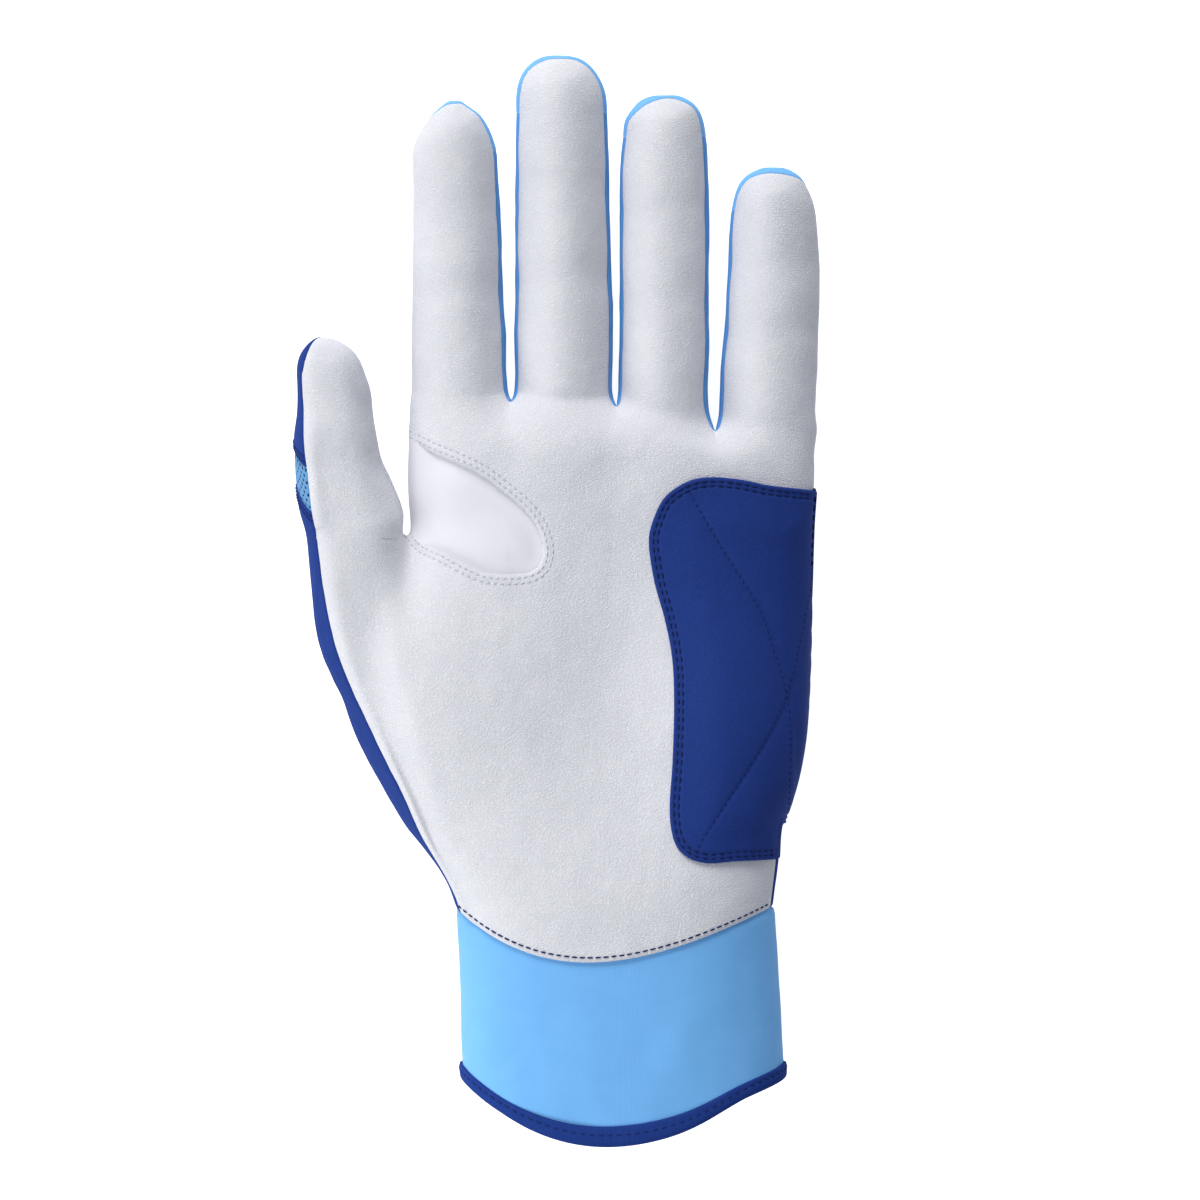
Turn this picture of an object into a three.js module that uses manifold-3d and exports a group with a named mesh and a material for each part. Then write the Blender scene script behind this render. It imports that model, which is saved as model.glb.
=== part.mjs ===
// A left-hand batting glove, lying on its back with the palm up.
// The fingers point along +Y, the thumb is on the -X side and the palm faces +Z.
// The glove is cut and sewn from thin panels. One smooth hand form carries them all: rings of
// points run round the wrist, the palm and each digit, and every panel is a wall of its own
// thickness on the faces of that form. Overlays and windows are cut with extruded outlines, and
// the pieces of the cuff are sections swept round the wrist.
import * as THREE from "three";
import { mergeVertices } from "three/addons/utils/BufferGeometryUtils.js";
import Module from "manifold-3d";

const wasm = await Module();
wasm.setup();

// Walls and clearances, in millimetres.
const LEATHER = 1;
const FABRIC = 0.9;
const MESH_FABRIC = 0.8;
const GUSSET_LEATHER = 0.9;
const SEAT_GAP = 0.3;
const SEAM_GAP = 0.25;
const CUT_OVERRUN = 5;
const REST_FLAT_DEPTH = 0.5;

// The palm. Heights are measured from the wrist line, where the cuff starts at the sides.
const THUMB_CROTCH_HEIGHT = 86;
const INDEX_MIDDLE_CROTCH_HEIGHT = 118;
const MIDDLE_RING_CROTCH_HEIGHT = 117;
const RING_LITTLE_CROTCH_HEIGHT = 111.4;
const INDEX_MIDDLE_GAP = 1.7;
const MIDDLE_RING_GAP = 1.4;
const RING_LITTLE_GAP = 2.2;
const THUMB_WEB_GAP = 1.4;
const WRIST_WIDTH = 73.8;
const WRIST_DEPTH = 38;
const PALM_EDGE_DIP = 11.8;
const BACK_EDGE_DROP = 4;
const KNUCKLE_DEPTH = 17;
const KNUCKLE_HEIGHT = 95;
const PALM_FRONT_DEPTH = 14;
const HEEL_FRONT_DEPTH = 21;
const HEEL_LENGTH = 30;
const THENAR_RISE = 4;
const HYPOTHENAR_RISE = 2.4;
const FINGER_PAD_RISE = 1.2;
const PALM_HOLLOW = 3.2;
const RADIAL_EDGE_BULGE = 1;
const THUMB_SEAM_INSET = 5.2;
const THUMB_WINDOW_SLANT = 9;

// Each digit from its crotch to its tip: length, width and depth over the leather, the length of
// the rounded tip, how far it leans towards the little finger, and how far it curls up.
const index = {
  name: "index",
  length: 70.7,
  width: 22.8,
  tipWidth: 20,
  depth: 19.8,
  tipDepth: 16.6,
  tipReach: 12,
  lean: -1.6,
  curl: 4,
  lift: 0,
};
const middle = {
  name: "middle",
  length: 81.6,
  width: 22.8,
  tipWidth: 21,
  depth: 20,
  tipDepth: 17,
  tipReach: 10.6,
  lean: -0.8,
  curl: 4.6,
  lift: 0,
};
const ring = {
  name: "ring",
  length: 75.8,
  width: 21.4,
  tipWidth: 19.8,
  depth: 19.4,
  tipDepth: 16.4,
  tipReach: 9.4,
  lean: 0.4,
  curl: 4.2,
  lift: 0,
};
const little = {
  name: "little",
  length: 61.6,
  width: 23,
  tipWidth: 19.2,
  depth: 18.8,
  tipDepth: 15.8,
  tipReach: 10,
  lean: 1.4,
  curl: 3.6,
  lift: 0,
};
const thumb = {
  name: "thumb",
  length: 47,
  width: 24.4,
  tipWidth: 16.8,
  depth: 24,
  tipDepth: 16.4,
  tipReach: 9,
  lean: -6,
  curl: 3,
  lift: 4,
};

// The cuff, its hem and its closing strap, on the back of the wrist.
const CUFF_TOP_WIDTH = 74.3;
const CUFF_HEM_WIDTH = 74.7;
const CUFF_LEAN = 2.6;
const CUFF_SIDE_LENGTH = 39.8;
const CUFF_PALM_DIP = 13;
const CUFF_WALL = 1.5;
const CUFF_TUCK = 6;
const CUFF_TUCK_GAP = 0.6;
const CUFF_SWELL_LENGTH = 5;
const BINDING_WALL = 0.7;
const BINDING_HEIGHT = 4;
const SLIT_WIDTH = 7;
const SLIT_GUSSET_WALL = 0.8;
const CUFF_LINING_GAP = 0.5;
const STRAP_WIDTH = 26;
const STRAP_WALL = 1.5;
const STRAP_CENTRE_DROP = 22.5;
const STRAP_END_RADIUS = 9;
const LOOP_WIDTH = 24;
const LOOP_WALL = 0.8;
const HOOK_WIDTH = 20;
const HOOK_WALL = 0.8;
const ELASTIC_WIDTH = 8;
const ELASTIC_WALL = 0.8;
const ELASTIC_DROP = 24;

// Places round the wrist, in degrees from the little-finger side, with 90 at the palm.
const SLIT_ANGLE = 250;
const STRAP_START_ANGLE = 208;
const STRAP_RAMP_START_ANGLE = 220;
const STRAP_RAMP_END_ANGLE = 238;
const STRAP_END_ANGLE = 324;
const LOOP_START_ANGLE = 266;
const LOOP_END_ANGLE = 334;
const HOOK_START_ANGLE = 282;
const HOOK_END_ANGLE = 314;
const ELASTIC_START_ANGLE = 48;
const ELASTIC_END_ANGLE = 132;

// The heel pad on the little-finger side, and the gusset between thumb and index finger.
const PAD_LENGTH = 89.3;
const PAD_TOP_HEIGHT = 100;
const PAD_WIDTH = 39.6;
const PAD_WALL = 1;
const PAD_FOAM = 1.2;
const PAD_SEAM_WIDTH = 3.4;
const PAD_SIDE_REACH = 1.5;
const GUSSET_LENGTH = 31;
const GUSSET_LAP = 3.5;
const GUSSET_SIDE_REACH = 1;

// Places on the digits, as shares of the straight part between the crotch and the rounded tip.
const FINGER_STATION_SHARES = [0.28, 0.6, 0.92];
const THUMB_STATION_SHARES = [0.3, 0.51, 0.76, 0.94];
const TIP_ANGLES = [34, 64];
const WAIST_SHARE = 0.975;

// Where a section's eight points lie round it, in degrees from the little-finger side.
const FINGER_ANGLES = [160, 114, 68, 22, -22, -68, -114, -160];
const THUMB_ANGLES = [142, 104, 62, 22, -22, -66, -112, -158];

// The palm's rows, as shares of the height from the wrist to the thumb's crotch, and the shares
// by which its outline has opened, and its digits have taken shape, at each row.
const PALM_ROW_SHARES = [0, 0.15, 0.42, 0.72, 1];
const THUMB_SIDE_SHARES = [0, 0.19, 0.64, 0.94, 1];
const THUMB_SEAM_SHARES = [0.06, 0.3, 1, 0.87, 0.5];
const LITTLE_SIDE_SHARES = [0, 0.02, 0.55, 0.76, 0.82];
const THUMB_FORM_SHARES = [0, 0, 0.03, 0.26, 1];
const UPPER_ROW_SHARES = [0.45, 0.8];
const UPPER_SIDE_SHARES = [0.85, 0.98];
const FINGER_FORM_SHARES = [0.06, 0.45];
const THUMB_GROUP_WRIST_SHARE = 0.17;
const SECTION_POWER = 2.5;
const LEATHER_EDGE_SKEW_SHARE = 0.35;
const HEM_SKEW_SHARE = 0.25;
const CUFF_TOP_LEAN_SHARE = 0.4;

const rad = THREE.MathUtils.degToRad;
const deg = THREE.MathUtils.radToDeg;
const lerp = THREE.MathUtils.lerp;
const clamp = THREE.MathUtils.clamp;
const smooth = THREE.MathUtils.smoothstep;

// Layout worked out from the sizes above.
const fingers = [index, middle, ring, little];
const fingerGaps = [INDEX_MIDDLE_GAP, MIDDLE_RING_GAP, RING_LITTLE_GAP];
const sum = (numbers) => numbers.reduce((a, b) => a + b, 0);
const palmWidth = sum(fingers.map((finger) => finger.width)) + sum(fingerGaps);
const palmSide = palmWidth / 2;
const crotchHeights = [
  INDEX_MIDDLE_CROTCH_HEIGHT,
  INDEX_MIDDLE_CROTCH_HEIGHT,
  MIDDLE_RING_CROTCH_HEIGHT,
  RING_LITTLE_CROTCH_HEIGHT,
  RING_LITTLE_CROTCH_HEIGHT,
];
let fingerLeft = -palmSide;
fingers.forEach((finger, i) => {
  finger.baseX = fingerLeft + finger.width / 2;
  finger.leftHeight = crotchHeights[i];
  finger.rightHeight = crotchHeights[i + 1];
  fingerLeft += finger.width + (fingerGaps[i] ?? 0);
});
thumb.baseX = -palmSide - THUMB_WEB_GAP - thumb.width / 2;
thumb.leftHeight = THUMB_CROTCH_HEIGHT;
thumb.rightHeight = THUMB_CROTCH_HEIGHT;
const thumbLeft = thumb.baseX - thumb.width / 2;

// The strap lies over the hook and loop patches, and its back is level with the knuckles.
const strapStack = SEAT_GAP + LOOP_WALL + SEAT_GAP + HOOK_WALL + SEAT_GAP;
const cuffCentreZ = strapStack + STRAP_WALL + WRIST_DEPTH / 2 - KNUCKLE_DEPTH;
const restLevel = REST_FLAT_DEPTH - KNUCKLE_DEPTH;

// A bump on the palm: full height at its centre, fading over its reach.
function bump(x, y, centreX, centreY, reachX, reachY, height) {
  return height * Math.exp(-(((x - centreX) / reachX) ** 2) - ((y - centreY) / reachY) ** 2);
}

// How full a section is at a share of its half-width: 1 in the middle and 0 at the edge.
function fullness(share) {
  return Math.max(0, 1 - Math.abs(share) ** SECTION_POWER) ** (1 / SECTION_POWER);
}

// The height of the seam plane, of the palm's crown and of the back's crown, going up the hand.
function seamPlane(y) {
  return cuffCentreZ * (1 - smooth(y, 0, THUMB_CROTCH_HEIGHT));
}

function palmCrown(y) {
  const wristTop = cuffCentreZ + WRIST_DEPTH / 2;
  const heel = lerp(wristTop, HEEL_FRONT_DEPTH, smooth(y, 0, HEEL_LENGTH));
  return lerp(heel, PALM_FRONT_DEPTH, smooth(y, HEEL_LENGTH / 2, THUMB_CROTCH_HEIGHT));
}

function backCrown(y) {
  return lerp(cuffCentreZ - WRIST_DEPTH / 2, -KNUCKLE_DEPTH, smooth(y, 0, KNUCKLE_HEIGHT));
}

// The mounds and the hollow of the palm, placed by the digits that they belong to.
function palmRelief(x, y) {
  const height = THUMB_CROTCH_HEIGHT;
  let z = bump(x, y, -palmSide, height * 0.55, palmSide * 0.42, height * 0.3, THENAR_RISE);
  z += bump(x, y, palmSide * 0.56, height * 0.42, palmSide * 0.34, height * 0.32, HYPOTHENAR_RISE);
  z -= bump(x, y, palmSide * 0.04, height * 0.68, palmSide * 0.32, height * 0.36, PALM_HOLLOW);
  for (const finger of fingers) {
    const padHeight = (finger.leftHeight + finger.rightHeight) / 2 - finger.width * 0.6;
    z += bump(x, y, finger.baseX, padHeight, finger.width * 0.42, finger.width * 0.4, FINGER_PAD_RISE);
  }
  return z;
}

// One ring of eight points round a digit: four on its palm side from left to right, then four
// on its back from right to left. The size shrinks the section, and the tilt slants the ring.
function digitRing(digit, angles, distance, size, tilt) {
  const along = distance / digit.length;
  const waist = 1 - (1 - WAIST_SHARE) * Math.sin(along * Math.PI * 3) ** 2;
  const halfWidth = (lerp(digit.width, digit.tipWidth, Math.min(1, along * 1.2)) / 2) * size * waist;
  const halfDepth = (lerp(digit.depth, digit.tipDepth, along) / 2) * size;
  const centreX = digit.baseX + digit.lean * Math.min(1, along * 1.1);
  const centreZ = digit.lift + digit.curl * along ** 2;
  const middleHeight = (digit.leftHeight + digit.rightHeight) / 2;
  return angles.map((angle) => {
    const across = Math.cos(rad(angle));
    const up = Math.sin(rad(angle));
    const slant = lerp(digit.leftHeight, digit.rightHeight, (across + 1) / 2);
    const base = lerp(slant, middleHeight, Math.min(1, along * 3));
    return new THREE.Vector3(
      centreX + halfWidth * across,
      base + distance + tilt * up,
      centreZ + halfDepth * up,
    );
  });
}

// The form is a list of points and of four-cornered faces, each with the panel it belongs to.
const form = { points: [], faces: [] };

function addPoints(points) {
  const first = form.points.length;
  form.points.push(...points);
  return points.map((_, i) => first + i);
}

// Joins two rings of the same count with a band of faces, whose panels go by their place.
function addBand(lower, upper, panelOf) {
  lower.forEach((_, k) => {
    const next = (k + 1) % lower.length;
    const corners = [lower[k], lower[next], upper[next], upper[k]];
    form.faces.push({ corners, panel: panelOf(k) });
  });
}

// A digit's tube from its base ring to a rounded tip. Faces 0 to 2 of a ring are its palm side,
// 3 its right side, 4 to 6 its back and 7 its left side. The tip belongs to the back.
function addDigit(digit, angles, baseRing, stationShares, tilt, panelOf) {
  const straight = digit.length - digit.tipReach;
  const rings = stationShares.map((share) => digitRing(digit, angles, straight * share, 1, tilt(share)));
  for (const angle of TIP_ANGLES) {
    const distance = straight + digit.tipReach * Math.sin(rad(angle));
    rings.push(digitRing(digit, angles, distance, Math.cos(rad(angle)), digit.tipReach * 0.05));
  }
  let lower = baseRing;
  rings.forEach((points, span) => {
    const upper = addPoints(points);
    addBand(lower, upper, (k) => panelOf(k, span));
    lower = upper;
  });
  const capPanel = panelOf(5, rings.length);
  for (const side of [0, 1, 2]) {
    const corners = [lower[side], lower[side + 1], lower[6 - side], lower[7 - side]];
    form.faces.push({ corners, panel: capPanel });
  }
}

// The palm's columns, left to right, on the palm side and on the back: four for each digit.
const fingerRings = fingers.map((finger) => digitRing(finger, FINGER_ANGLES, 0, 1, 0));
const crotchFront = fingerRings.flatMap((points) => points.slice(0, 4));
const crotchBack = fingerRings.flatMap((points) => points.slice(4).reverse());
const thumbRing = digitRing(thumb, THUMB_ANGLES, 0, 1, 0);
const thumbFront = thumbRing.slice(0, 4);
const thumbBack = thumbRing.slice(4).reverse();
const columnShare = (point) => (point.x + palmSide) / palmWidth;

// The height of the hand's surface over a place in a section that runs from left to right.
function surfaceHeight(x, y, left, right, isFront) {
  const full = fullness((2 * x - left - right) / (right - left));
  const plane = seamPlane(y);
  const crown = isFront ? palmCrown(y) + palmRelief(x, y) : backCrown(y);
  return plane + (crown - plane) * full;
}

// Where the leather or the back ends over the cuff, from one side of the wrist to the other.
function edgeHeight(side, isFront) {
  if (!isFront) return -BACK_EDGE_DROP * (1 - side ** 4);
  return -PALM_EDGE_DIP * (1 - side ** 2) * (1 - LEATHER_EDGE_SKEW_SHARE * side);
}

// One row of the whole palm, thumb columns included, from the wrist to the thumb's crotch.
function lowerRow(rowIndex) {
  const rise = PALM_ROW_SHARES[rowIndex];
  const left = lerp(-WRIST_WIDTH / 2, thumbLeft, THUMB_SIDE_SHARES[rowIndex]);
  const right = lerp(WRIST_WIDTH / 2, palmSide, LITTLE_SIDE_SHARES[rowIndex]);
  const crotchSplitShare = (-palmSide - thumbLeft) / (palmSide - thumbLeft);
  const split = lerp(left, right, lerp(THUMB_GROUP_WRIST_SHARE, crotchSplitShare, rise));
  const place = (x, isFront, formedHeight) => {
    const side = (2 * x - left - right) / (right - left);
    const y = lerp(edgeHeight(side, isFront), THUMB_CROTCH_HEIGHT, rise);
    const z = lerp(surfaceHeight(x, y, left, right, isFront), formedHeight, THUMB_FORM_SHARES[rowIndex]);
    return new THREE.Vector3(x, y, z);
  };
  const seamInset = THUMB_SEAM_INSET * THUMB_SEAM_SHARES[rowIndex];
  const placeThumb = (point, isFront) => {
    if (point === thumbFront[0]) return place(left + seamInset, isFront, point.z);
    const share = (point.x - thumbLeft) / (-palmSide - thumbLeft);
    return place(lerp(left, split, share), isFront, point.z);
  };
  const placePalm = (point, isFront) => {
    const formed = surfaceHeight(point.x, THUMB_CROTCH_HEIGHT, -palmSide, palmSide, isFront);
    return place(lerp(split, right, columnShare(point)), isFront, formed);
  };
  const front = [...thumbFront.map((p) => placeThumb(p, true)), ...crotchFront.map((p) => placePalm(p, true))];
  const back = [...thumbBack.map((p) => placeThumb(p, false)), ...crotchBack.map((p) => placePalm(p, false))];
  return [...front, ...back.reverse()];
}

// One row of the four fingers' part, between the thumb's crotch and the fingers' crotches.
function upperRow(rowIndex) {
  const rise = UPPER_ROW_SHARES[rowIndex];
  const left = -palmSide - RADIAL_EDGE_BULGE * Math.sin(rise * Math.PI);
  const right = lerp(WRIST_WIDTH / 2, palmSide, UPPER_SIDE_SHARES[rowIndex]);
  const place = (column, isFront) => {
    const x = lerp(left, right, columnShare(column));
    const y = lerp(THUMB_CROTCH_HEIGHT, column.y, rise);
    const z = surfaceHeight(x, y, left, right, isFront);
    return new THREE.Vector3(x, y, lerp(z, column.z, FINGER_FORM_SHARES[rowIndex]));
  };
  const front = crotchFront.map((column) => place(column, true));
  const back = crotchBack.map((column) => place(column, false));
  return [...front, ...back.reverse()];
}

// Which panel a face belongs to, by its place in its row.
function lowerPanel(k, rowIndex) {
  const columns = thumbFront.length + crotchFront.length;
  if (k === columns - 1 && rowIndex === 1) return "hand_back";
  if (k < columns) return "palm_leather";
  return k < 2 * columns - 5 ? "hand_back" : "thumb_side_panel";
}

function upperPanel(k, rowIndex) {
  const columns = crotchFront.length;
  if (k < columns || k === 2 * columns - 1) return "palm_leather";
  return rowIndex === 0 ? "hand_back" : "knuckle_panel";
}

function fingerPanel(finger, k) {
  if (k < 3) return finger.name + "_front";
  if (k > 3 && k < 7) return finger.name + "_back";
  const isLeft = k === 7;
  if (isLeft ? finger === index : finger === little) return finger.name + "_front";
  return finger.name + (isLeft ? "_thumb_side_fourchette" : "_little_side_fourchette");
}

function thumbPanel(k, span) {
  if (k < 4) return "thumb_front";
  if (span === 0) return "thumb_base_back";
  return span === 1 ? "thumb_flex_mesh" : "thumb_tip_back";
}

const webName = (i) => fingers[i].name + "_" + fingers[i + 1].name + "_web";

function buildForm() {
  let lower = addPoints(lowerRow(0));
  for (let rowIndex = 1; rowIndex < PALM_ROW_SHARES.length; rowIndex++) {
    const upper = addPoints(lowerRow(rowIndex));
    addBand(lower, upper, (k) => lowerPanel(k, rowIndex));
    lower = upper;
  }
  const count = lower.length;
  const thumbWeb = [lower[3], lower[4], lower[count - 5], lower[count - 4]];
  form.faces.push({ corners: thumbWeb, panel: "palm_leather" });
  const thumbBase = [...lower.slice(0, 4), ...lower.slice(count - 4)];
  const thumbTilt = (share) => -THUMB_WINDOW_SLANT * (1 - share);
  addDigit(thumb, THUMB_ANGLES, thumbBase, THUMB_STATION_SHARES, thumbTilt, thumbPanel);

  lower = lower.slice(4, count - 4);
  UPPER_ROW_SHARES.forEach((_, rowIndex) => {
    const upper = addPoints(upperRow(rowIndex));
    addBand(lower, upper, (k) => upperPanel(k, rowIndex));
    lower = upper;
  });
  const crotchRow = addPoints([...crotchFront, ...[...crotchBack].reverse()].map((p) => p.clone()));
  addBand(lower, crotchRow, (k) => upperPanel(k, UPPER_ROW_SHARES.length));
  const last = crotchRow.length - 1;
  fingers.forEach((finger, i) => {
    const front = crotchRow.slice(4 * i, 4 * i + 4);
    const back = crotchRow.slice(last - 4 * i - 3, last - 4 * i + 1);
    const panelOf = (k) => fingerPanel(finger, k);
    addDigit(finger, FINGER_ANGLES, [...front, ...back], FINGER_STATION_SHARES, () => 0, panelOf);
    if (i === fingers.length - 1) return;
    const web = [front[3], crotchRow[4 * i + 4], crotchRow[last - 4 * i - 4], back[0]];
    form.faces.push({ corners: web, panel: webName(i) });
  });
}

const edgeKey = (a, b) => Math.min(a, b) + "_" + Math.max(a, b);

// The neighbours of each point: along its edges, across its faces, and along the open rim.
function neighbours(mesh) {
  const uses = new Map();
  const around = mesh.points.map(() => ({ near: new Set(), across: [], rim: [] }));
  for (const { corners } of mesh.faces) {
    corners.forEach((a, i) => {
      const b = corners[(i + 1) % 4];
      uses.set(edgeKey(a, b), (uses.get(edgeKey(a, b)) ?? 0) + 1);
      around[a].near.add(b);
      around[b].near.add(a);
      around[a].across.push(corners[(i + 2) % 4]);
    });
  }
  for (const [key, count] of uses) {
    if (count > 1) continue;
    const [a, b] = key.split("_").map(Number);
    around[a].rim.push(b);
    around[b].rim.push(a);
  }
  return around;
}

// Where each point of a control mesh lies on the smooth surface.
function limitPoints(mesh, around) {
  return mesh.points.map((point, i) => {
    const { near, across, rim } = around[i];
    if (rim.length) {
      const total = point.clone().multiplyScalar(4);
      rim.forEach((j) => total.add(mesh.points[j]));
      return total.divideScalar(6);
    }
    const n = near.size;
    const total = point.clone().multiplyScalar(n * n);
    near.forEach((j) => total.addScaledVector(mesh.points[j], 4));
    across.forEach((j) => total.add(mesh.points[j]));
    return total.divideScalar(n * (n + 5));
  });
}

// Pushes the control mesh out until its smooth surface runs through the points it was given.
function fitThroughPoints(mesh, rounds) {
  const around = neighbours(mesh);
  const targets = mesh.points.map((p) => p.clone());
  for (let round = 0; round < rounds; round++) {
    const limits = limitPoints(mesh, around);
    mesh.points.forEach((p, i) => p.add(targets[i]).sub(limits[i]));
  }
}

// One step of Catmull-Clark subdivision. Each new face keeps its panel.
function subdivide(mesh) {
  const around = neighbours(mesh);
  const centres = mesh.faces.map(({ corners }) => {
    const total = corners.reduce((p, c) => p.add(mesh.points[c]), new THREE.Vector3());
    return total.divideScalar(4);
  });
  const points = mesh.points.map((point, i) => {
    const { near, rim } = around[i];
    if (rim.length) {
      const [a, b] = rim.map((j) => mesh.points[j]);
      return point.clone().multiplyScalar(6).add(a).add(b).divideScalar(8);
    }
    const n = near.size;
    const moved = point.clone().multiplyScalar((n - 2) / n);
    near.forEach((j) => moved.addScaledVector(mesh.points[j], 1 / (n * n)));
    return moved;
  });
  const edges = new Map();
  mesh.faces.forEach(({ corners }, f) => {
    corners.forEach((a, i) => {
      const n = around[a].near.size;
      if (!around[a].rim.length) points[a].addScaledVector(centres[f], 1 / (n * n));
      const b = corners[(i + 1) % 4];
      if (!edges.has(edgeKey(a, b))) edges.set(edgeKey(a, b), { ends: [a, b], sides: [] });
      edges.get(edgeKey(a, b)).sides.push(centres[f]);
    });
  });
  const centreIds = centres.map((p) => points.push(p) - 1);
  const edgeIds = new Map();
  for (const [key, { ends, sides }] of edges) {
    const total = mesh.points[ends[0]].clone().add(mesh.points[ends[1]]);
    if (sides.length === 2) total.add(sides[0]).add(sides[1]).divideScalar(4);
    else total.divideScalar(2);
    edgeIds.set(key, points.push(total) - 1);
  }
  const faces = mesh.faces.flatMap(({ corners, panel }, f) =>
    corners.map((c, i) => {
      const next = edgeIds.get(edgeKey(c, corners[(i + 1) % 4]));
      const previous = edgeIds.get(edgeKey(corners[(i + 3) % 4], c));
      return { corners: [c, next, centreIds[f], previous], panel };
    }),
  );
  return { points, faces };
}

// The outward normal at each point, weighted by the areas of the faces round it.
function pointNormals(mesh) {
  const normals = mesh.points.map(() => new THREE.Vector3());
  for (const { corners } of mesh.faces) {
    const [a, b, c, d] = corners.map((i) => mesh.points[i]);
    const normal = c.clone().sub(a).cross(d.clone().sub(b));
    corners.forEach((i) => normals[i].add(normal));
  }
  return normals.map((n) => n.normalize());
}

buildForm();
const FIT_ROUNDS = 6;
fitThroughPoints(form, FIT_ROUNDS);
const hand = subdivide(form);
hand.points = limitPoints(hand, neighbours(hand));
hand.normals = pointNormals(hand);

function geometryOf(positions, triangles) {
  const geometry = new THREE.BufferGeometry();
  geometry.setAttribute("position", new THREE.Float32BufferAttribute(positions, 3));
  geometry.setIndex(triangles);
  return geometry;
}

// A closed wall over chosen faces of the hand, between two offsets along the normals, which may
// vary from point to point. Its edge is drawn in by the gap, clear of the panel sewn beside it.
function wall(faces, innerOffset, outerOffset, edgeGap) {
  const offsetAt = (offset, point) => (typeof offset === "function" ? offset(point) : offset);
  const halfEdges = new Set();
  for (const { corners } of faces) {
    corners.forEach((a, i) => halfEdges.add(a + "_" + corners[(i + 1) % 4]));
  }
  const rim = [...halfEdges]
    .map((key) => key.split("_").map(Number))
    .filter(([a, b]) => !halfEdges.has(b + "_" + a));
  const inwards = new Map();
  for (const [a, b] of rim) {
    const along = hand.points[b].clone().sub(hand.points[a]).normalize();
    for (const i of [a, b]) {
      if (!inwards.has(i)) inwards.set(i, new THREE.Vector3());
      inwards.get(i).add(hand.normals[i].clone().cross(along).normalize());
    }
  }
  const ids = new Map();
  const positions = [];
  const outerId = (i) => {
    if (!ids.has(i)) {
      ids.set(i, positions.length / 3);
      const base = hand.points[i].clone();
      if (inwards.has(i)) base.addScaledVector(inwards.get(i).clone().normalize(), edgeGap);
      for (const offset of [outerOffset, innerOffset]) {
        const distance = offsetAt(offset, hand.points[i]);
        positions.push(...base.clone().addScaledVector(hand.normals[i], distance).toArray());
      }
    }
    return ids.get(i);
  };
  const triangles = [];
  const quad = (a, b, c, d) => triangles.push(a, b, c, a, c, d);
  for (const { corners } of faces) {
    const [a, b, c, d] = corners.map(outerId);
    quad(a, b, c, d);
    quad(a + 1, d + 1, c + 1, b + 1);
  }
  for (const [i, j] of rim) {
    const a = outerId(i);
    const b = outerId(j);
    quad(b, a, a + 1, b + 1);
  }
  return geometryOf(positions, triangles);
}

const facesOf = (panel) => hand.faces.filter((face) => face.panel === panel);
const panelWall = (panel, thickness) => wall(facesOf(panel), -thickness, 0, SEAM_GAP);

// Between three.js geometry and solids that can be cut.
function solidOf(geometry) {
  const bare = geometry.clone();
  bare.deleteAttribute("normal");
  bare.deleteAttribute("uv");
  const merged = mergeVertices(bare);
  const vertProperties = new Float32Array(merged.attributes.position.array);
  const triVerts = new Uint32Array(merged.index.array);
  return new wasm.Manifold(new wasm.Mesh({ numProp: 3, vertProperties, triVerts }));
}

// The largest body of a solid, as three.js geometry. Slivers beside it are cutting waste.
function geometryFrom(solid) {
  const [largest] = solid.decompose().sort((a, b) => b.volume() - a.volume());
  const mesh = largest.getMesh();
  return geometryOf(Array.from(mesh.vertProperties), Array.from(mesh.triVerts));
}

// A prism along Z over an outline in the plan, from one height to another.
const OUTLINE_SEGMENTS = 2;
function planPrism(shape, low, high) {
  const options = { depth: high - low, bevelEnabled: false, curveSegments: OUTLINE_SEGMENTS };
  const geometry = new THREE.ExtrudeGeometry(shape, options);
  geometry.translate(0, 0, low);
  return solidOf(geometry);
}

// Cuts a piece flat at the level that the glove rests on.
function cutAtRest(geometry) {
  const box = new THREE.Box3().setFromBufferAttribute(geometry.attributes.position);
  if (box.min.z >= restLevel) return geometry;
  box.expandByScalar(CUT_OVERRUN);
  const size = box.getSize(new THREE.Vector3());
  const waste = new THREE.BoxGeometry(size.x, size.y, CUT_OVERRUN * 2);
  const centre = box.getCenter(new THREE.Vector3());
  waste.translate(centre.x, centre.y, restLevel - CUT_OVERRUN);
  return geometryFrom(solidOf(geometry).subtract(solidOf(waste)));
}

// The heel pad's outline. Its thumb-side edge swings in and out, and its outer edge runs off the
// glove's side. Shares are of the pad's width, from the side of the palm, and of its length.
const PAD_OUTLINE_SHARES = [
  [0.06, 0.031],
  [0.29, 0.021],
  [0.45, 0.007],
  [0.63, 0],
  [0.77, 0.011],
  [0.9, 0.049],
  [0.968, 0.104],
  [1, 0.168],
  [0.968, 0.269],
  [0.905, 0.372],
  [0.862, 0.475],
  [0.852, 0.59],
  [0.862, 0.734],
  [0.88, 0.863],
  [0.857, 0.94],
  [0.787, 0.982],
  [0.665, 1],
  [0.486, 0.996],
  [0.28, 0.995],
];
function padOutline(inset) {
  const points = PAD_OUTLINE_SHARES.map(([across, down]) => {
    const x = palmSide - across * PAD_WIDTH;
    const y = PAD_TOP_HEIGHT - down * PAD_LENGTH;
    const share = clamp(down, 0, 1);
    return new THREE.Vector2(x + inset * clamp(2 * across - 1, 0, 1), y + inset * (2 * share - 1));
  });
  const runOff = palmSide + CUT_OVERRUN - inset;
  const shape = new THREE.Shape();
  shape.moveTo(runOff, points[0].y);
  shape.lineTo(points[0].x, points[0].y);
  shape.splineThru(points.slice(1));
  shape.lineTo(runOff, points[points.length - 1].y);
  return shape;
}

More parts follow.
